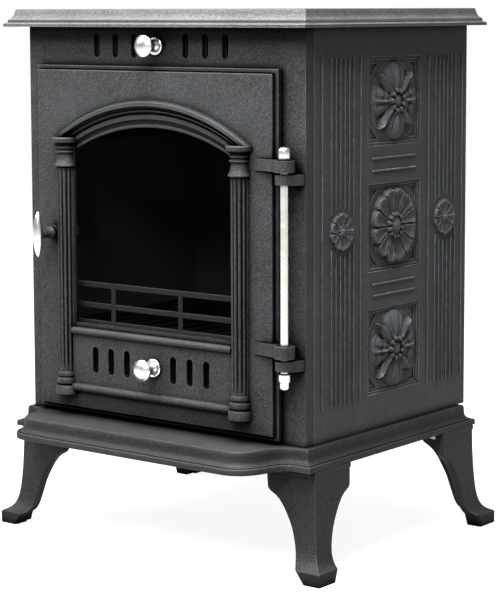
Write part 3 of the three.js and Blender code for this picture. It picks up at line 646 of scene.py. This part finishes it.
# ---------- side panels ----------
def smooth(low, high, value):
    """0 below low, 1 above high, and an easy rise between."""
    t = min(1.0, max(0.0, (value - low) / (high - low)))
    return t * t * (3 - 2 * t)


def hump(offset, width):
    """A soft bump of height 1 where offset is 0."""
    return math.exp(-((offset / width) ** 2))


def bead_ring(radius, angle, count, ring, size):
    """Height of a ring of round beads at a point."""
    step = FULL_TURN / count
    off = (angle % step) - step / 2
    gap = math.hypot(radius - ring, off * ring)
    return math.sqrt(max(0.0, size * size - gap * gap))


def rosette_height(radius, angle, petals, reach):
    """Scooped petals with raised rims round a beaded boss."""
    step = FULL_TURN / petals
    across = abs(((angle % step) - step / 2) / (step / 2))
    edge = reach * (1 - 0.09 * across ** 2.6)
    along = radius / edge
    rim = smooth(0.74, 0.90, along) * (1 - smooth(0.94, 1.0, along))
    ridge = smooth(0.35, 0.80, across) * (1 - smooth(0.84, 0.98, across))
    groove = smooth(0.86, 1.0, across) * smooth(0.25, 0.5, along)
    petal = 1.6 + 1.0 * along + 1.1 * rim + 1.1 * ridge * smooth(0.2, 0.6, along) - 2.0 * groove
    petal *= 1 - smooth(0.965, 1.0, along)
    petal = max(petal, 0.0)
    ring, bead = 0.29 * reach, 0.075 * reach
    beads = 0
    if abs(radius - ring) < bead:
        beads = 2.2 + bead_ring(radius, angle, petals, ring, bead)
    boss, boss_radius = 0.0, 0.23 * reach
    if radius < boss_radius:
        boss = 2.7 + 3.0 * math.sqrt(max(0.0, 1 - (radius / boss_radius) ** 2))
        boss -= 0.8 * hump(radius / reach - 0.15, 0.02)
    return max(petal if radius > ring else 2.3, beads, boss)


def turned_from(angle, centre):
    """How far an angle is from another, the short way round."""
    return abs((angle - centre + math.pi) % FULL_TURN - math.pi)


def cross_flower_height(radius, angle, reach):
    """Four broad ribbed petals over four pointed leaves, round a small beaded centre."""
    best = 0.0
    along = radius / reach
    for quarter in range(4):
        centre = quarter * FULL_TURN / 4
        fan = quarter % 2 == 1
        half = 0.72 if fan else 0.60
        off = turned_from(angle, centre) / half
        if off < 1:
            edge = (1 - 0.26 * off ** 2.4) if fan else (0.98 - 0.20 * off ** 3)
            body = math.sqrt(max(0.0, 1 - off ** 2.4))
            end = math.sqrt(max(0.0, 1 - (along / edge) ** 5)) if along < edge else 0.0
            crown = (3.2 + 4.2 * math.sin(min(1.0, along / edge) * 2.5)) * end
            marked = smooth(0.3, 0.45, along) * end
            if fan:
                lobes = 1.9 * math.sin(off * math.pi * 1.5) ** 4 * marked
                rib = hump(off, 0.08) * marked
                best = max(best, crown * body - lobes + rib)
            else:
                vein = 1.6 * hump(off, 0.08) * marked - 1.2 * hump(off - 0.2, 0.1) * marked
                curl = math.hypot(along - 0.70, (off - 0.5) * 0.36)
                scroll = 1.6 * hump(curl - 0.15, 0.035) * marked
                best = max(best, crown * body * 0.9 + vein - scroll)
        off = turned_from(angle, centre + FULL_TURN / 8)
        width = 0.24 * (1 - smooth(0.55, 1.0, along)) + 0.02
        if off < width and along < 1.0:
            best = max(best, 4.2 + 3.2 * (1 - off / width) * (1 - smooth(0.92, 1.0, along)))
    ring = 0.25 * reach
    if radius < ring * 1.3:
        best = max(min(best, 5.4), 4.9 + 1.2 * bead_ring(radius, angle, 9, ring, 0.085 * reach))
    if radius < ring * 0.75:
        best = 5.4 + 2.4 * math.sqrt(max(0.0, 1 - (radius / (ring * 0.72)) ** 2))
    return best


DISC_RISE = 0.12  # a relief's lowest point stands this far off the panel
DISC_SKIRT = -0.8  # and its rim runs this far into the panel


def relief_disc(reach, rings, steps, height):
    """A round relief whose every point is raised by height(radius, angle)."""
    bm = swept_round([(reach * 1.01 * i / rings, 0, 0) for i in range(rings + 1)], steps)
    bmesh.ops.remove_doubles(bm, verts=bm.verts, dist=WELD)
    for vert in bm.verts:
        radius = math.hypot(vert.co.x, vert.co.y)
        angle = math.atan2(vert.co.y, vert.co.x) % FULL_TURN
        vert.co.z = DISC_RISE + height(radius, angle)
    bmesh.ops.smooth_vert(bm, verts=bm.verts, factor=0.25, use_axis_z=True)
    rim = [edge for edge in bm.edges if edge.is_boundary]
    made = bmesh.ops.extrude_edge_only(bm, edges=rim)["geom"]
    for vert in only(bmesh.types.BMVert, made):
        vert.co.z = DISC_SKIRT
    bmesh.ops.contextual_create(bm, geom=only(bmesh.types.BMEdge, made))
    bmesh.ops.recalc_face_normals(bm, faces=bm.faces)
    return bm


def reed(x0, x1, z0, z1, height=1.4):
    """A raised bar with a rounded back and ends."""
    bm = block(x0, x1, z0, z1, -0.4, height)
    top = [edge for edge in bm.edges if all(v.co.z > 0 for v in edge.verts)]
    bmesh.ops.bevel(
        bm, geom=top, offset=0.7, offset_type="OFFSET", segments=3, profile=0.5, affect="EDGES",
        material=-1, clamp_overlap=True,
    )
    return bm


# Across a panel is measured back from the front face, and heights from the ground.
PICTURES = [(444.3, 538.5, "cross"), (309.3, 403.0, "rosette"), (175.7, 268.0, "cross")]
PICTURE_X = (111.5, 211.5)
PICTURE_MID = sum(PICTURE_X) / 2
PICTURE_FRAME = 3.2  # width of the step round each picture
PICTURE_STEP, PICTURE_FLOOR, SPANDREL_FLOOR = -1.1, -2.3, -3.6
ROSETTES = [(61.8, 357.3), (260.3, 357.1)]
ROSETTE_GAP = 26.0  # radius round a small rosette that is clear of reeds
REED_LOW, REED_HIGH = 172.5, 539.0
REED_HALF = 0.9
REED_GROUPS = [[44, 52, 60, 68, 76, 84], [242, 250, 258, 266.2, 274.4, 282.6]]
REED_SINGLES = [28, 97, 228, 297]
BARS = (430.7, 417.3, 295.4, 282.9)  # heights of the level bars between the pictures


def spandrel(x, z, side_x, side_z, depth):
    """The sunk three-cornered pocket in a picture's corner."""
    half_x, half_z, ring = 43.2, 40.2, 50.0
    start = math.degrees(math.asin(math.sqrt(ring * ring - half_x * half_x) / ring))
    end = math.degrees(math.acos(math.sqrt(ring * ring - half_z * half_z) / ring))
    points = [(half_x, half_z), *reversed(arc(0, 0, ring, start, end, 6))]
    bm = bmesh.new()
    outline = [(x + side_x * a, z + side_z * b, depth) for a, b in points]
    slab(bm, outline, (0, 0, 6))
    return bm


def side_panel_shape():
    """A side panel lying flat: x runs back, y up, and the outer face is at z = 0."""
    low, high = stove_box("side_panel_right")
    panel = block(low.y, high.y, low.z, high.z, low.x - high.x, 0)
    cutters = []
    for z0, z1, _ in PICTURES:
        cutters.append(block(*PICTURE_X, z0, z1, PICTURE_STEP, 4))
        inner = (PICTURE_X[0] + PICTURE_FRAME, PICTURE_X[1] - PICTURE_FRAME)
        cutters.append(block(*inner, z0 + PICTURE_FRAME, z1 - PICTURE_FRAME, PICTURE_FLOOR, 4))
        for side_x in (-1, 1):
            for side_z in (-1, 1):
                cutters.append(spandrel(PICTURE_MID, (z0 + z1) / 2, side_x, side_z, SPANDREL_FLOOR))
    panel = carve(panel, *cutters)
    for x in REED_SINGLES:
        gather(panel, reed(x - REED_HALF, x + REED_HALF, REED_LOW, REED_HIGH))
    for (centre_x, centre_z), group in zip(ROSETTES, REED_GROUPS):
        for x in group:
            gap = math.sqrt(ROSETTE_GAP ** 2 - (x - centre_x) ** 2)
            gather(panel, reed(x - REED_HALF, x + REED_HALF, REED_LOW, centre_z - gap))
            gather(panel, reed(x - REED_HALF, x + REED_HALF, centre_z + gap, REED_HIGH))
    for z in BARS:
        gather(panel, reed(119, 202, z - 1.1, z + 1.1))
    return panel


def flowers_shape():
    """The flowers of one side, lying flat as its panel does."""
    cross, large, small = 42.5, 41.5, 20.5  # radii of the three kinds of flower
    flowers = bmesh.new()
    for z0, z1, kind in PICTURES:
        if kind == "cross":
            disc = relief_disc(cross, 56, 176, lambda r, a: cross_flower_height(r, a, cross))
        else:
            disc = relief_disc(large, 56, 180, lambda r, a: 1.35 * rosette_height(r, a, 12, large))
        gather(flowers, disc, Matrix.Translation((PICTURE_MID, (z0 + z1) / 2, PICTURE_FLOOR)))
    for x, z in ROSETTES:
        disc = relief_disc(small, 30, 120, lambda r, a: 0.85 * rosette_height(r, a, 10, small))
        gather(flowers, disc, Matrix.Translation((x, z, 0)))
    return flowers


def make_side(name, side):
    _, high = stove_box("side_panel_right")
    stand = Matrix(((0, 0, side, side * high.x), (1, 0, 0, 0), (0, 1, 0, 0), (0, 0, 0, 1)))
    panel = gather(bmesh.new(), side_panel_shape(), stand)
    flowers = gather(bmesh.new(), flowers_shape(), stand)
    node = "side_panel_" + name
    finish_piece(panel, "side_casting_" + name, "stove_body", SIDE_PAINT_LIT, [node], 0.45)
    flower_name = "side_flowers_" + name
    finish_piece(flowers, flower_name, "stove_body", FLOWER_PAINT_LIT, edge=0, sharp=60)


# ---------- door ----------
ROPE_LOW, ROPE_HIGH = stove_box("door_rope")
DOOR_EDGE = 9.8  # from the rope's outer edge to the door's
DOOR_MID = (ROPE_LOW.x + ROPE_HIGH.x) / 2
DOOR_LEFT, DOOR_RIGHT = ROPE_LOW.x - DOOR_EDGE + 2.2, ROPE_HIGH.x + DOOR_EDGE - 2.4
DOOR_FOOT, DOOR_HEAD = ROPE_LOW.z - DOOR_EDGE, ROPE_HIGH.z + DOOR_EDGE - 3.4
DOOR_BACK = -1.2
DOOR_FACE = -12.0
COLUMN_AWAY = 123.3
HINGE = middle("hinge_rod")
HANDLE = middle("handle_knob")
WINDOW_HALF, WINDOW_FOOT, WINDOW_SPRING = 111, 243, 443
PANEL_HALF = 113  # half the width between the columns
ROD_HOLE = 4.8  # radius of the hinge lugs' bores
DOOR_LUGS = ((424.5, 12.0), (232.7, 12.8))  # foot and height
BODY_LUGS = ((411.6, 10.4), (219.6, 10.6))
# Air slots: distances either side of the middle of their row.
LOWER_SLOTS = [33, 56, 79]
LOWER_SLOT_X, LOWER_SLOT_Z = -6.0, 203.5
UPPER_SLOTS = [36, 63, 90]
UPPER_SLOT_X, UPPER_SLOT_Z = -1.5, 550.8
KNOB_SLOT = (22, 9.5)  # width and height of the level slot a knob slides in


def bow(half, spring, rise, count):
    """A shallow arch of [x, z] pairs from right to left about the door's middle."""
    radius = (half * half + rise * rise) / (2 * rise)
    sweep = math.degrees(math.asin(half / radius))
    return arc(DOOR_MID, spring + rise - radius, radius, 90 - sweep, 90 + sweep, count)


def window_outline():
    left, right = DOOR_MID - WINDOW_HALF, DOOR_MID + WINDOW_HALF
    arch_half, rise = 125, 36.8
    return [
        (left, WINDOW_FOOT), (right, WINDOW_FOOT), (right, WINDOW_SPRING),
        *bow(arch_half, WINDOW_SPRING, rise, 36), (left, WINDOW_SPRING),
    ]


def upright_slot(x, z, width, height):
    radius = width / 2
    reach = height / 2 - radius
    return arc(x, z + reach, radius, 0, 180, 12) + arc(x, z - reach, radius, 180, 360, 12)


def level_slot(x, z, width, height):
    radius = height / 2
    reach = width / 2 - radius
    return arc(x + reach, z, radius, -90, 90, 12) + arc(x - reach, z, radius, 90, 270, 12)


def door_slab():
    bm = bmesh.new()
    rim_y = -7.2
    outline = [(x, rim_y, z) for x, z, _ in rectangle(DOOR_LEFT, DOOR_RIGHT, DOOR_FOOT, DOOR_HEAD)]
    face, back = slab(bm, outline, (0, DOOR_BACK - rim_y, 0))
    if face.normal.y > 0:
        face = back
    mould(bm, face, [(0.6, 0.5), (3.4, 0.6), (3.6, -0.8), (4.7, -0.8), (4.9, 4.1), (5.6, 4.8)])
    return bm


def slot_cutters():
    """The air slots in the door's lower panel."""
    cutters = [
        facing(upright_slot(LOWER_SLOT_X + side * away, LOWER_SLOT_Z, 9, 30), -30, 3)
        for away in LOWER_SLOTS for side in (-1, 1)
    ]
    cutters.append(facing(level_slot(LOWER_SLOT_X, LOWER_SLOT_Z, *KNOB_SLOT), -30, 3))
    return cutters


def arch_moulding():
    """The bowed band over the window, swept from spring to spring."""
    outer = bow(140, 447.5, 46, 48)
    inner = bow(107.5, 437.5, 26, 48)
    # Share of the way from the outer bow to the inner one, and y.
    section = [
        (0.0, -11.0), (0.0, -12.3), (0.07, -17.2), (0.09, -18.0), (0.21, -18.2), (0.235, -17.7),
        (0.25, -14.2), (0.29, -12.6), (0.345, -12.2), (0.36, -12.9), (0.38, -13.7), (0.42, -13.7),
        (0.44, -12.8), (0.45, -10.8), (0.50, -10.2), (0.52, -11.4), (0.55, -12.2), (0.68, -12.2),
        (0.71, -11.6), (0.73, -9.0), (0.84, -8.4), (0.86, -9.4), (0.89, -10.0), (0.97, -10.0),
        (1.0, -9.4), (1.0, -7.9), (0.48, -7.9), (0.42, -9.5),
    ]
    rows = []
    for (ox, oz), (ix, iz) in zip(outer, inner):
        rows.append([(ox + (ix - ox) * t, y, oz + (iz - oz) * t) for t, y in section])
    return loft(rows)


def column_shape():
    """A half column: plinth, rings, fluted shaft, bell and spreading head."""
    foot, head, steps = 189.0, 415.5, 24  # of the fluted shaft
    profile = [
        (0, 161), (13.4, 161), (14.0, 161.8), (14.0, 169.6), (13.2, 171.2), (10.6, 172.0),
        (10.6, 172.8), (12.2, 173.8), (12.9, 176.2), (12.4, 179.2), (10.8, 180.4), (10.0, 180.8),
        (10.0, 181.6), (11.2, 182.4), (11.5, 184.4), (11.0, 186.4), (10.0, 187.2), (10.2, foot),
    ]
    profile += [
        (10.2 + 0.4 * i / steps, foot + (head - foot) * i / steps) for i in range(1, steps + 1)
    ]
    profile += [
        (9.6, 416.2), (10.0, 416.8), (13.0, 417.2), (13.4, 418.4), (13.0, 419.4), (11.6, 421.6),
        (10.6, 425.0), (10.0, 429.0), (9.6, 431.0), (10.2, 431.8), (11.6, 432.4), (12.0, 433.4),
        (11.6, 434.4), (10.4, 434.8), (10.2, 436.6), (11.6, 437.2), (12.0, 438.2), (11.6, 439.2),
        (10.2, 439.6), (9.8, 442.6), (10.4, 443.0), (14.4, 443.4), (15.4, 444.4), (15.8, 448.4),
        (15.0, 449.2), (0, 449.2),
    ]
    bm = turned(profile, 120)
    flutes, flute_depth = 12, 2.8
    for vert in bm.verts:
        radius = math.hypot(vert.co.x, vert.co.y)
        angle = math.atan2(vert.co.y, vert.co.x)
        if foot + 1 < vert.co.z < head - 1 and radius > 1:
            rib = abs(math.cos(angle * flutes / 2)) ** 0.6
            shrink = 1 - (flute_depth * (1 - rib)) / radius
            vert.co.x *= shrink
            vert.co.y *= shrink
    behind = 3.2  # the column is cut off this far behind its axis
    cut = bmesh.ops.bisect_plane(
        bm, geom=[*bm.verts, *bm.edges, *bm.faces], dist=0.001, plane_co=(0, behind, 0), plane_no=(0, 1, 0),
        clear_outer=True,
    )["geom_cut"]
    bmesh.ops.contextual_create(bm, geom=only(bmesh.types.BMEdge, cut))
    bmesh.ops.recalc_face_normals(bm, faces=bm.faces)
    return bm


def roll(x0, x1, y, z, radius):
    bm = rod(radius, x0, x1, 32)
    bmesh.ops.rotate(bm, verts=bm.verts, cent=(0, 0, 0), matrix=Matrix.Rotation(math.radians(90), 3, "Y"))
    shift(bm, 0, y, z)
    return bm


def lug_shape(z, height):
    """A hinge strap on the door with its bored knuckle."""
    knuckle = rod(11, z, z + height, 64)
    shift(knuckle, HINGE.x, HINGE.y, 0)
    strap = bmesh.new()
    plan = [
        (HINGE.x, HINGE.y - 4), (169, -18.0), (158, -16.6), (147, -15.0), (138, -13.4), (133, -11.9),
        (133, -9.5), (166, -8.5), (HINGE.x, HINGE.y + 6),
    ]
    slab(strap, [(x, y, z) for x, y in plan], (0, 0, height))
    bore = rod(ROD_HOLE, z - OVER, z + height + OVER, 40)
    shift(bore, HINGE.x, HINGE.y, 0)
    gather(knuckle, strap)
    return carve_all(knuckle, bore)


def carve_all(bm, cutter):
    """Cuts one shape out of each loose part of another."""
    out = bmesh.new()
    for island in loose_parts(bm):
        gather(out, carve(island, cutter.copy()))
    cutter.free()
    bm.free()
    return out


def loose_parts(bm):
    """Each loose part of a shape as a shape of its own."""
    bm.faces.index_update()
    left = set(bm.faces)
    parts = []
    for seed in bm.faces:
        if seed not in left:
            continue
        left.discard(seed)
        island, fringe = {seed}, [seed]
        while fringe:
            for edge in fringe.pop().edges:
                for face in edge.link_faces:
                    if face in left:
                        left.discard(face)
                        island.add(face)
                        fringe.append(face)
        copy = bm.copy()
        keep = {face.index for face in island}
        copy.faces.ensure_lookup_table()
        bmesh.ops.delete(copy, geom=[f for f in copy.faces if f.index not in keep], context="FACES")
        parts.append(copy)
    return parts


def make_door():
    slab_cutters = [facing(window_outline(), -30, 3), *slot_cutters()]
    hollow_half = 145
    slab_cutters.append(block(DOOR_MID - hollow_half, DOOR_MID + hollow_half, -5.5, 3, 174, 504))
    glass_low, glass_high = stove_box("door_glass")
    slab_cutters.append(block(glass_low.x - 1, glass_high.x + 1, -8, 3, glass_low.z - 1, glass_high.z + 1))
    rope_seat = carve(
        block(ROPE_LOW.x - 0.3, ROPE_HIGH.x + 0.3, -6.2, 3, ROPE_LOW.z - 0.3, ROPE_HIGH.z + 0.3),
        block(ROPE_LOW.x + 5.7, ROPE_HIGH.x - 5.7, -8, 5, ROPE_LOW.z + 5.7, ROPE_HIGH.z - 5.7),
    )
    slab_cutters.append(rope_seat)
    spindle_bore = rod(5, -2, 32, 32)
    place = towards_front(HANDLE.x, 0, HANDLE.z)
    bmesh.ops.transform(spindle_bore, matrix=place, verts=spindle_bore.verts)
    slab_cutters.append(spindle_bore)
    door = carve(door_slab(), *slab_cutters)
    left, right = DOOR_MID - PANEL_HALF, DOOR_MID + PANEL_HALF
    gather(door, carve(block(left, right, -15, -10, 168, 236.5), *slot_cutters()))
    gather(door, roll(left, right, -14.2, 234.0, 4.3))
    gather(door, roll(left, right, -13.8, 170.5, 5.0))
    left, right = DOOR_MID - WINDOW_HALF, DOOR_MID + WINDOW_HALF
    sill_low, sill_high = 233, 238
    sill = [(left, sill_low), (right, sill_low), (right, sill_high), (left, sill_high)]
    gather(door, facing(sill, -14, -9))
    gather(door, arch_moulding())
    for side in (-1, 1):
        gather(door, column_shape(), Matrix.Translation((DOOR_MID + side * COLUMN_AWAY, DOOR_FACE, 0)))
    boss = turned([(5.2, 0), (8.5, 0), (8.5, 7.0), (7.9, 8.0), (5.8, 8.0), (5.2, 7.4), (5.2, 0)], 40)
    gather(door, boss, towards_front(HANDLE.x, DOOR_FACE, HANDLE.z))
    for z, height in DOOR_LUGS:
        gather(door, lug_shape(z, height))
    finish_piece(door, "door_casting", "door", PAINT, ["door"], 0.45)


# ---------- bright fittings ----------
def make_air_knob(name, body, seat_y):
    centre = middle(name)
    head = [
        (0, 0.4), (10.0, 0.4), (10.4, 1.2), (10.0, 2.2), (8.9, 2.6), (8.2, 1.9), (7.4, 1.9), (6.9, 3.0),
        (6.0, 4.4), (4.9, 5.4), (4.2, 7.4), (4.0, 12.6), (4.6, 14.8), (6.6, 16.6), (9.4, 17.6),
        (11.3, 18.4), (12.0, 19.6), (11.8, 20.8), (11.0, 21.6), (10.2, 21.9), (9.8, 22.5), (8.6, 23.6),
        (6.2, 24.8), (3.2, 25.4), (0, 25.6),
    ]
    bm = turned(head, 64)
    gather(bm, rod(4.2, -5, 0.5, 24))  # the shank
    bm = gather(bmesh.new(), bm, towards_front(centre.x, seat_y, centre.z))
    finish_piece(bm, name + "_turned", body, NICKEL, [name], edge=0, sharp=50)


def make_hinge():
    low, high = stove_box("hinge_rod")
    bar = rod(4.3, low.z, high.z, 48)
    low, high = stove_box("hinge_finial_top")
    acorn_height = 13.2
    acorn = [
        (0, 0), (5.9, 0), (6.2, 0.5), (6.2, 8.8), (5.9, 10.4), (4.9, 12.0), (3.2, 12.9),
        (1.4, acorn_height), (0, acorn_height),
    ]
    top = turned([(r, low.z + h * (high.z - low.z) / acorn_height) for r, h in acorn], 48)
    low, high = stove_box("hinge_finial_bottom")
    drop_height = 17.2
    drop = [
        (0, 0), (5.0, 0), (6.1, 0.8), (6.3, 5.4), (6.0, 8.2), (5.2, 9.4), (5.0, 10.0), (5.0, 14.6),
        (4.4, 16.2), (2.6, 17.0), (0, drop_height),
    ]
    foot = turned([(r, high.z - h * (high.z - low.z) / drop_height) for r, h in drop], 48)
    for bm, piece, node in (
        (bar, "hinge_rod_polished", "hinge_rod"),
        (top, "hinge_cap_top", "hinge_finial_top"),
        (foot, "hinge_cap_foot", "hinge_finial_bottom"),
    ):
        shift(bm, HINGE.x, HINGE.y, 0)
        finish_piece(bm, piece, "stove_body", NICKEL, [node], edge=0, sharp=50)


def make_front():
    low, high = stove_box("front_panel")
    wall, wrap = 6.0, high.y
    plan = [
        (low.x, 0), (high.x, 0), (high.x, wrap), (high.x - wall, wrap), (high.x - wall, wall),
        (low.x + wall, wall), (low.x + wall, wrap), (low.x, wrap),
    ]
    panel = bmesh.new()
    slab(panel, [(x, y, low.z) for x, y in plan], (0, 0, high.z - low.z))
    cutters = [block(-153, 143, -2, wall + 2, 164, 510)]
    for away in UPPER_SLOTS:
        for side in (-1, 1):
            slot = upright_slot(UPPER_SLOT_X + side * away, UPPER_SLOT_Z, 8.6, 26.5)
            cutters.append(facing(slot, -2, wall + 2))
    cutters.append(facing(level_slot(-1, UPPER_SLOT_Z, *KNOB_SLOT), -2, wall + 2))
    panel = carve(panel, *cutters)
    for z, height in BODY_LUGS:
        knuckle = turned([
            (ROD_HOLE, z), (9.2, z), (9.6, z + 0.4), (9.6, z + height - 0.4), (9.2, z + height),
            (ROD_HOLE, z + height), (ROD_HOLE, z),
        ], 48)
        gather(panel, knuckle, Matrix.Translation((HINGE.x, HINGE.y, 0)))
        root = bmesh.new()
        plan = [
            (HINGE.x - 4, HINGE.y + 8.4), (HINGE.x + 5.2, HINGE.y - 2), (HINGE.x + 9.2, HINGE.y - 1),
            (191.5, -4), (192, 0.5), (HINGE.x - 7, 0.5),
        ]
        slab(root, [(x, y, z - 0.6) for x, y in plan], (0, 0, height + 0.4))
        gather(panel, root)
    finish_piece(panel, "front_casting", "stove_body", PAINT, ["front_panel"], 0.5)


def make_guard():
    low, high = stove_box("log_guard")
    rails = ((280.6, 286.6), (257.4, 263.2), (low.z, 243.6))
    uprights = (low.x + 4, -78.5, 18.4, 115.3, high.x - 4)
    half = 2.7
    guard = bmesh.new()
    for z0, z1 in rails:
        gather(guard, block(low.x, high.x, low.y, low.y + 2.2, z0, z1))
    for x in uprights:
        gather(guard, block(x - half, x + half, low.y + 0.1, low.y + 2.1, low.z, 286.4))
    finish_piece(guard, "log_guard_bars", "stove_body", GUARD_PAINT_LIT, ["log_guard"], 0.4)


def make_low_clips():
    """The two clips under the glass, whose blades stop below the window."""
    for side in ("left", "right"):
        node = "glass_clip_bottom_" + side
        low, high = stove_box(node)
        clip = block(low.x, high.x, low.y, low.y + 2, low.z, WINDOW_FOOT - 0.8)
        gather(clip, block(low.x, high.x, low.y + 0.1, high.y, low.z, low.z + 8))
        finish_piece(clip, "glass_clip_low_" + side, "door", ZINC, [node], 0.3)


def make_handle():
    low, high = stove_box("handle_knob")
    half = (high.z - low.z) / 2
    thickest, steps = 6.0, 32
    profile = []
    for i in range(steps + 1):
        t = -1 + 2 * i / steps
        profile.append((thickest * max(0.0, 1 - t * t) ** 0.62, t * half))
    grip = turned(profile, 48)
    shift(grip, *HANDLE)
    finish_piece(grip, "handle_grip", "door_handle", NICKEL, ["handle_knob"], edge=0, sharp=60)
    neck = turned([
        (0, -17), (4.4, -17), (4.4, 20.6), (6.6, 20.6), (7.2, 21.4), (7.2, 24.4), (6.4, 25.6), (5.2, 27.6),
        (4.8, 31.0), (5.0, 34.0), (5.4, 36.4), (4.9, 38.2), (0, 38.6),
    ], 40)
    neck = gather(bmesh.new(), neck, towards_front(HANDLE.x, 0, HANDLE.z))
    node = "handle_spindle"
    finish_piece(neck, "handle_neck", "door_handle", PAINT, [node], edge=0, sharp=45)


# ---------- rear ----------
def make_collar():
    """The flanged spigot that a flue pipe fits."""
    low, high = stove_box("flue_collar")
    centre = middle("flue_collar")
    depth = high.y - low.y
    tube = turned([
        (FLUE_BORE, 0), (79.2, 0), (80, 0.8), (80, 6.6), (78.6, 8.0), (63.5, 8.0), (61.2, 9.2), (60.2, 11.6),
        (60, depth - 3), (59.2, depth - 0.5), (57.6, depth), (54.8, depth), (FLUE_BORE, depth - 0.8),
        (FLUE_BORE, 0),
    ], 96)
    place = Matrix.Translation((centre.x, low.y, centre.z)) @ BACKWARD
    tube = gather(bmesh.new(), tube, place)
    node = "flue_collar"
    finish_piece(tube, "flue_collar_cast", "stove_body", PAINT, [node], edge=0, sharp=40)


make_top_plate()
make_flue_blank()
make_base_plate()
for leg, mirror_x, mirror_y in (
    ("front_right", 1, 1), ("front_left", -1, 1), ("rear_right", 1, -1), ("rear_left", -1, -1),
):
    make_leg(leg, mirror_x, mirror_y)
make_side("right", 1)
make_side("left", -1)
make_door()
make_air_knob("upper_air_knob", "upper_air_control", 0)
make_air_knob("lower_air_knob", "lower_air_control", -15)
make_front()
make_guard()
make_low_clips()
make_hinge()
make_handle()
make_collar()

# ---------- castings and steel kept as they are ----------
# Each node's finish and the rounding of its edges; the rest are zinc-plated fixings.
KEPT = {
    "back_panel": (PAINT, 0.6),
    "grate": (FIREBOX_SHADE, 0.8), "grate_bearer_left": (FIREBOX_SHADE, 0.6), "grate_bearer_right": (FIREBOX_SHADE, 0.6),
    "baffle_plate": (FIREBOX_SHADE, 0.6), "ash_pan_runner_left": (FIREBOX_SHADE, 0.6), "ash_pan_runner_right": (FIREBOX_SHADE, 0.6),
    "fire_brick_left": (BRICK, 1.2), "fire_brick_right": (BRICK, 1.2), "fire_brick_rear": (BRICK, 1.2),
    "ash_pan": (SHEET, 0.3), "air_wash_plate": (SHEET, 0.4), "upper_air_slider": (SHEET, 0.3),
    "lower_air_slider": (SHEET, 0.3), "latch_cam": (SHEET, 0.4), "door_glass": (GLASS, 0.3),
    "door_rope": (ROPE, 1.6), "latch_nut": (ZINC, 0.5),
}
for node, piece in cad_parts.items():
    if piece.hide_render:
        continue
    surface, edge = KEPT.get(node, (ZINC, 0.4))
    piece.data.materials.clear()
    piece.data.materials.append(surface)
    soften(piece, edge)

# ---------- floor, light and camera ----------
floor_mesh = bmesh.new()
bmesh.ops.create_grid(floor_mesh, x_segments=1, y_segments=1, size=9)
floor = loose(floor_mesh, "studio_floor")
floor_finish = Finish("studio_floor_white", 0.9)
floor_tone = floor_finish.noise(3, 2.0)
floor_finish.colour(floor_finish.blend(floor_finish.spread(floor_tone, 0.3, 0.7), grey(0.14), grey(0.16)))
floor_finish.shader.inputs["Emission Color"].default_value = (1, 1, 1, 1)
floor_finish.shader.inputs["Emission Strength"].default_value = 0.92
floor.data.materials.append(floor_finish.surface)
floor.visible_diffuse = False

world = bpy.data.worlds.new("studio")
world.use_nodes = True
sky = world.node_tree
backdrop = sky.nodes["Background"]
backdrop.inputs["Color"].default_value = (1, 1, 1, 1)
fill = sky.nodes.new("ShaderNodeBackground")
fill.inputs["Color"].default_value = (0.93, 0.97, 1, 1)
fill.inputs["Strength"].default_value = 0.28
seen = sky.nodes.new("ShaderNodeLightPath")
choose = sky.nodes.new("ShaderNodeMixShader")
sky.links.new(seen.outputs["Is Camera Ray"], choose.inputs["Fac"])
sky.links.new(fill.outputs["Background"], choose.inputs[1])
sky.links.new(backdrop.outputs["Background"], choose.inputs[2])
sky.links.new(choose.outputs["Shader"], sky.nodes["World Output"].inputs["Surface"])
bpy.context.scene.world = world
bpy.context.scene.view_settings.view_transform = "Standard"


def soft_box(name, place, aim, size, power):
    lamp = bpy.data.lights.new(name, "AREA")
    lamp.shape = "SQUARE"
    lamp.size = size
    lamp.energy = power
    holder = bpy.data.objects.new(name, lamp)
    bpy.context.scene.collection.objects.link(holder)
    holder.location = place
    holder.rotation_euler = (Vector(aim) - Vector(place)).to_track_quat("-Z", "Y").to_euler()


soft_box("key_front_left", (-1.3, -1.2, 1.6), (0, 0, 0.45), 0.8, 42)
soft_box("side_rake", (0.72, -1.9, 1.7), (0.1, 0, 0.4), 0.5, 62)
soft_box("top_light", (0.08, -0.40, 1.75), (0, 0, 0.4), 1.2, 215)

camera = bpy.data.objects.new("camera", bpy.data.cameras.new("camera"))
bpy.context.scene.collection.objects.link(camera)
bpy.context.scene.camera = camera
camera.data.lens = 123.8
camera.data.shift_y = -0.1013513514
turn, dip, tilt = math.radians(37.97), math.radians(6.36), math.radians(-0.18)
ahead = Vector((-math.sin(turn) * math.cos(dip), math.cos(turn) * math.cos(dip), -math.sin(dip)))
right = Vector((math.cos(turn), math.sin(turn), 0))
up = right.cross(ahead)
right, up = right * math.cos(tilt) + up * math.sin(tilt), up * math.cos(tilt) - right * math.sin(tilt)
facing_stove = Matrix((right, up, -ahead)).transposed().to_4x4()
camera.matrix_world = Matrix.Translation((1.41881, -1.80667, 0.58957)) @ facing_stove
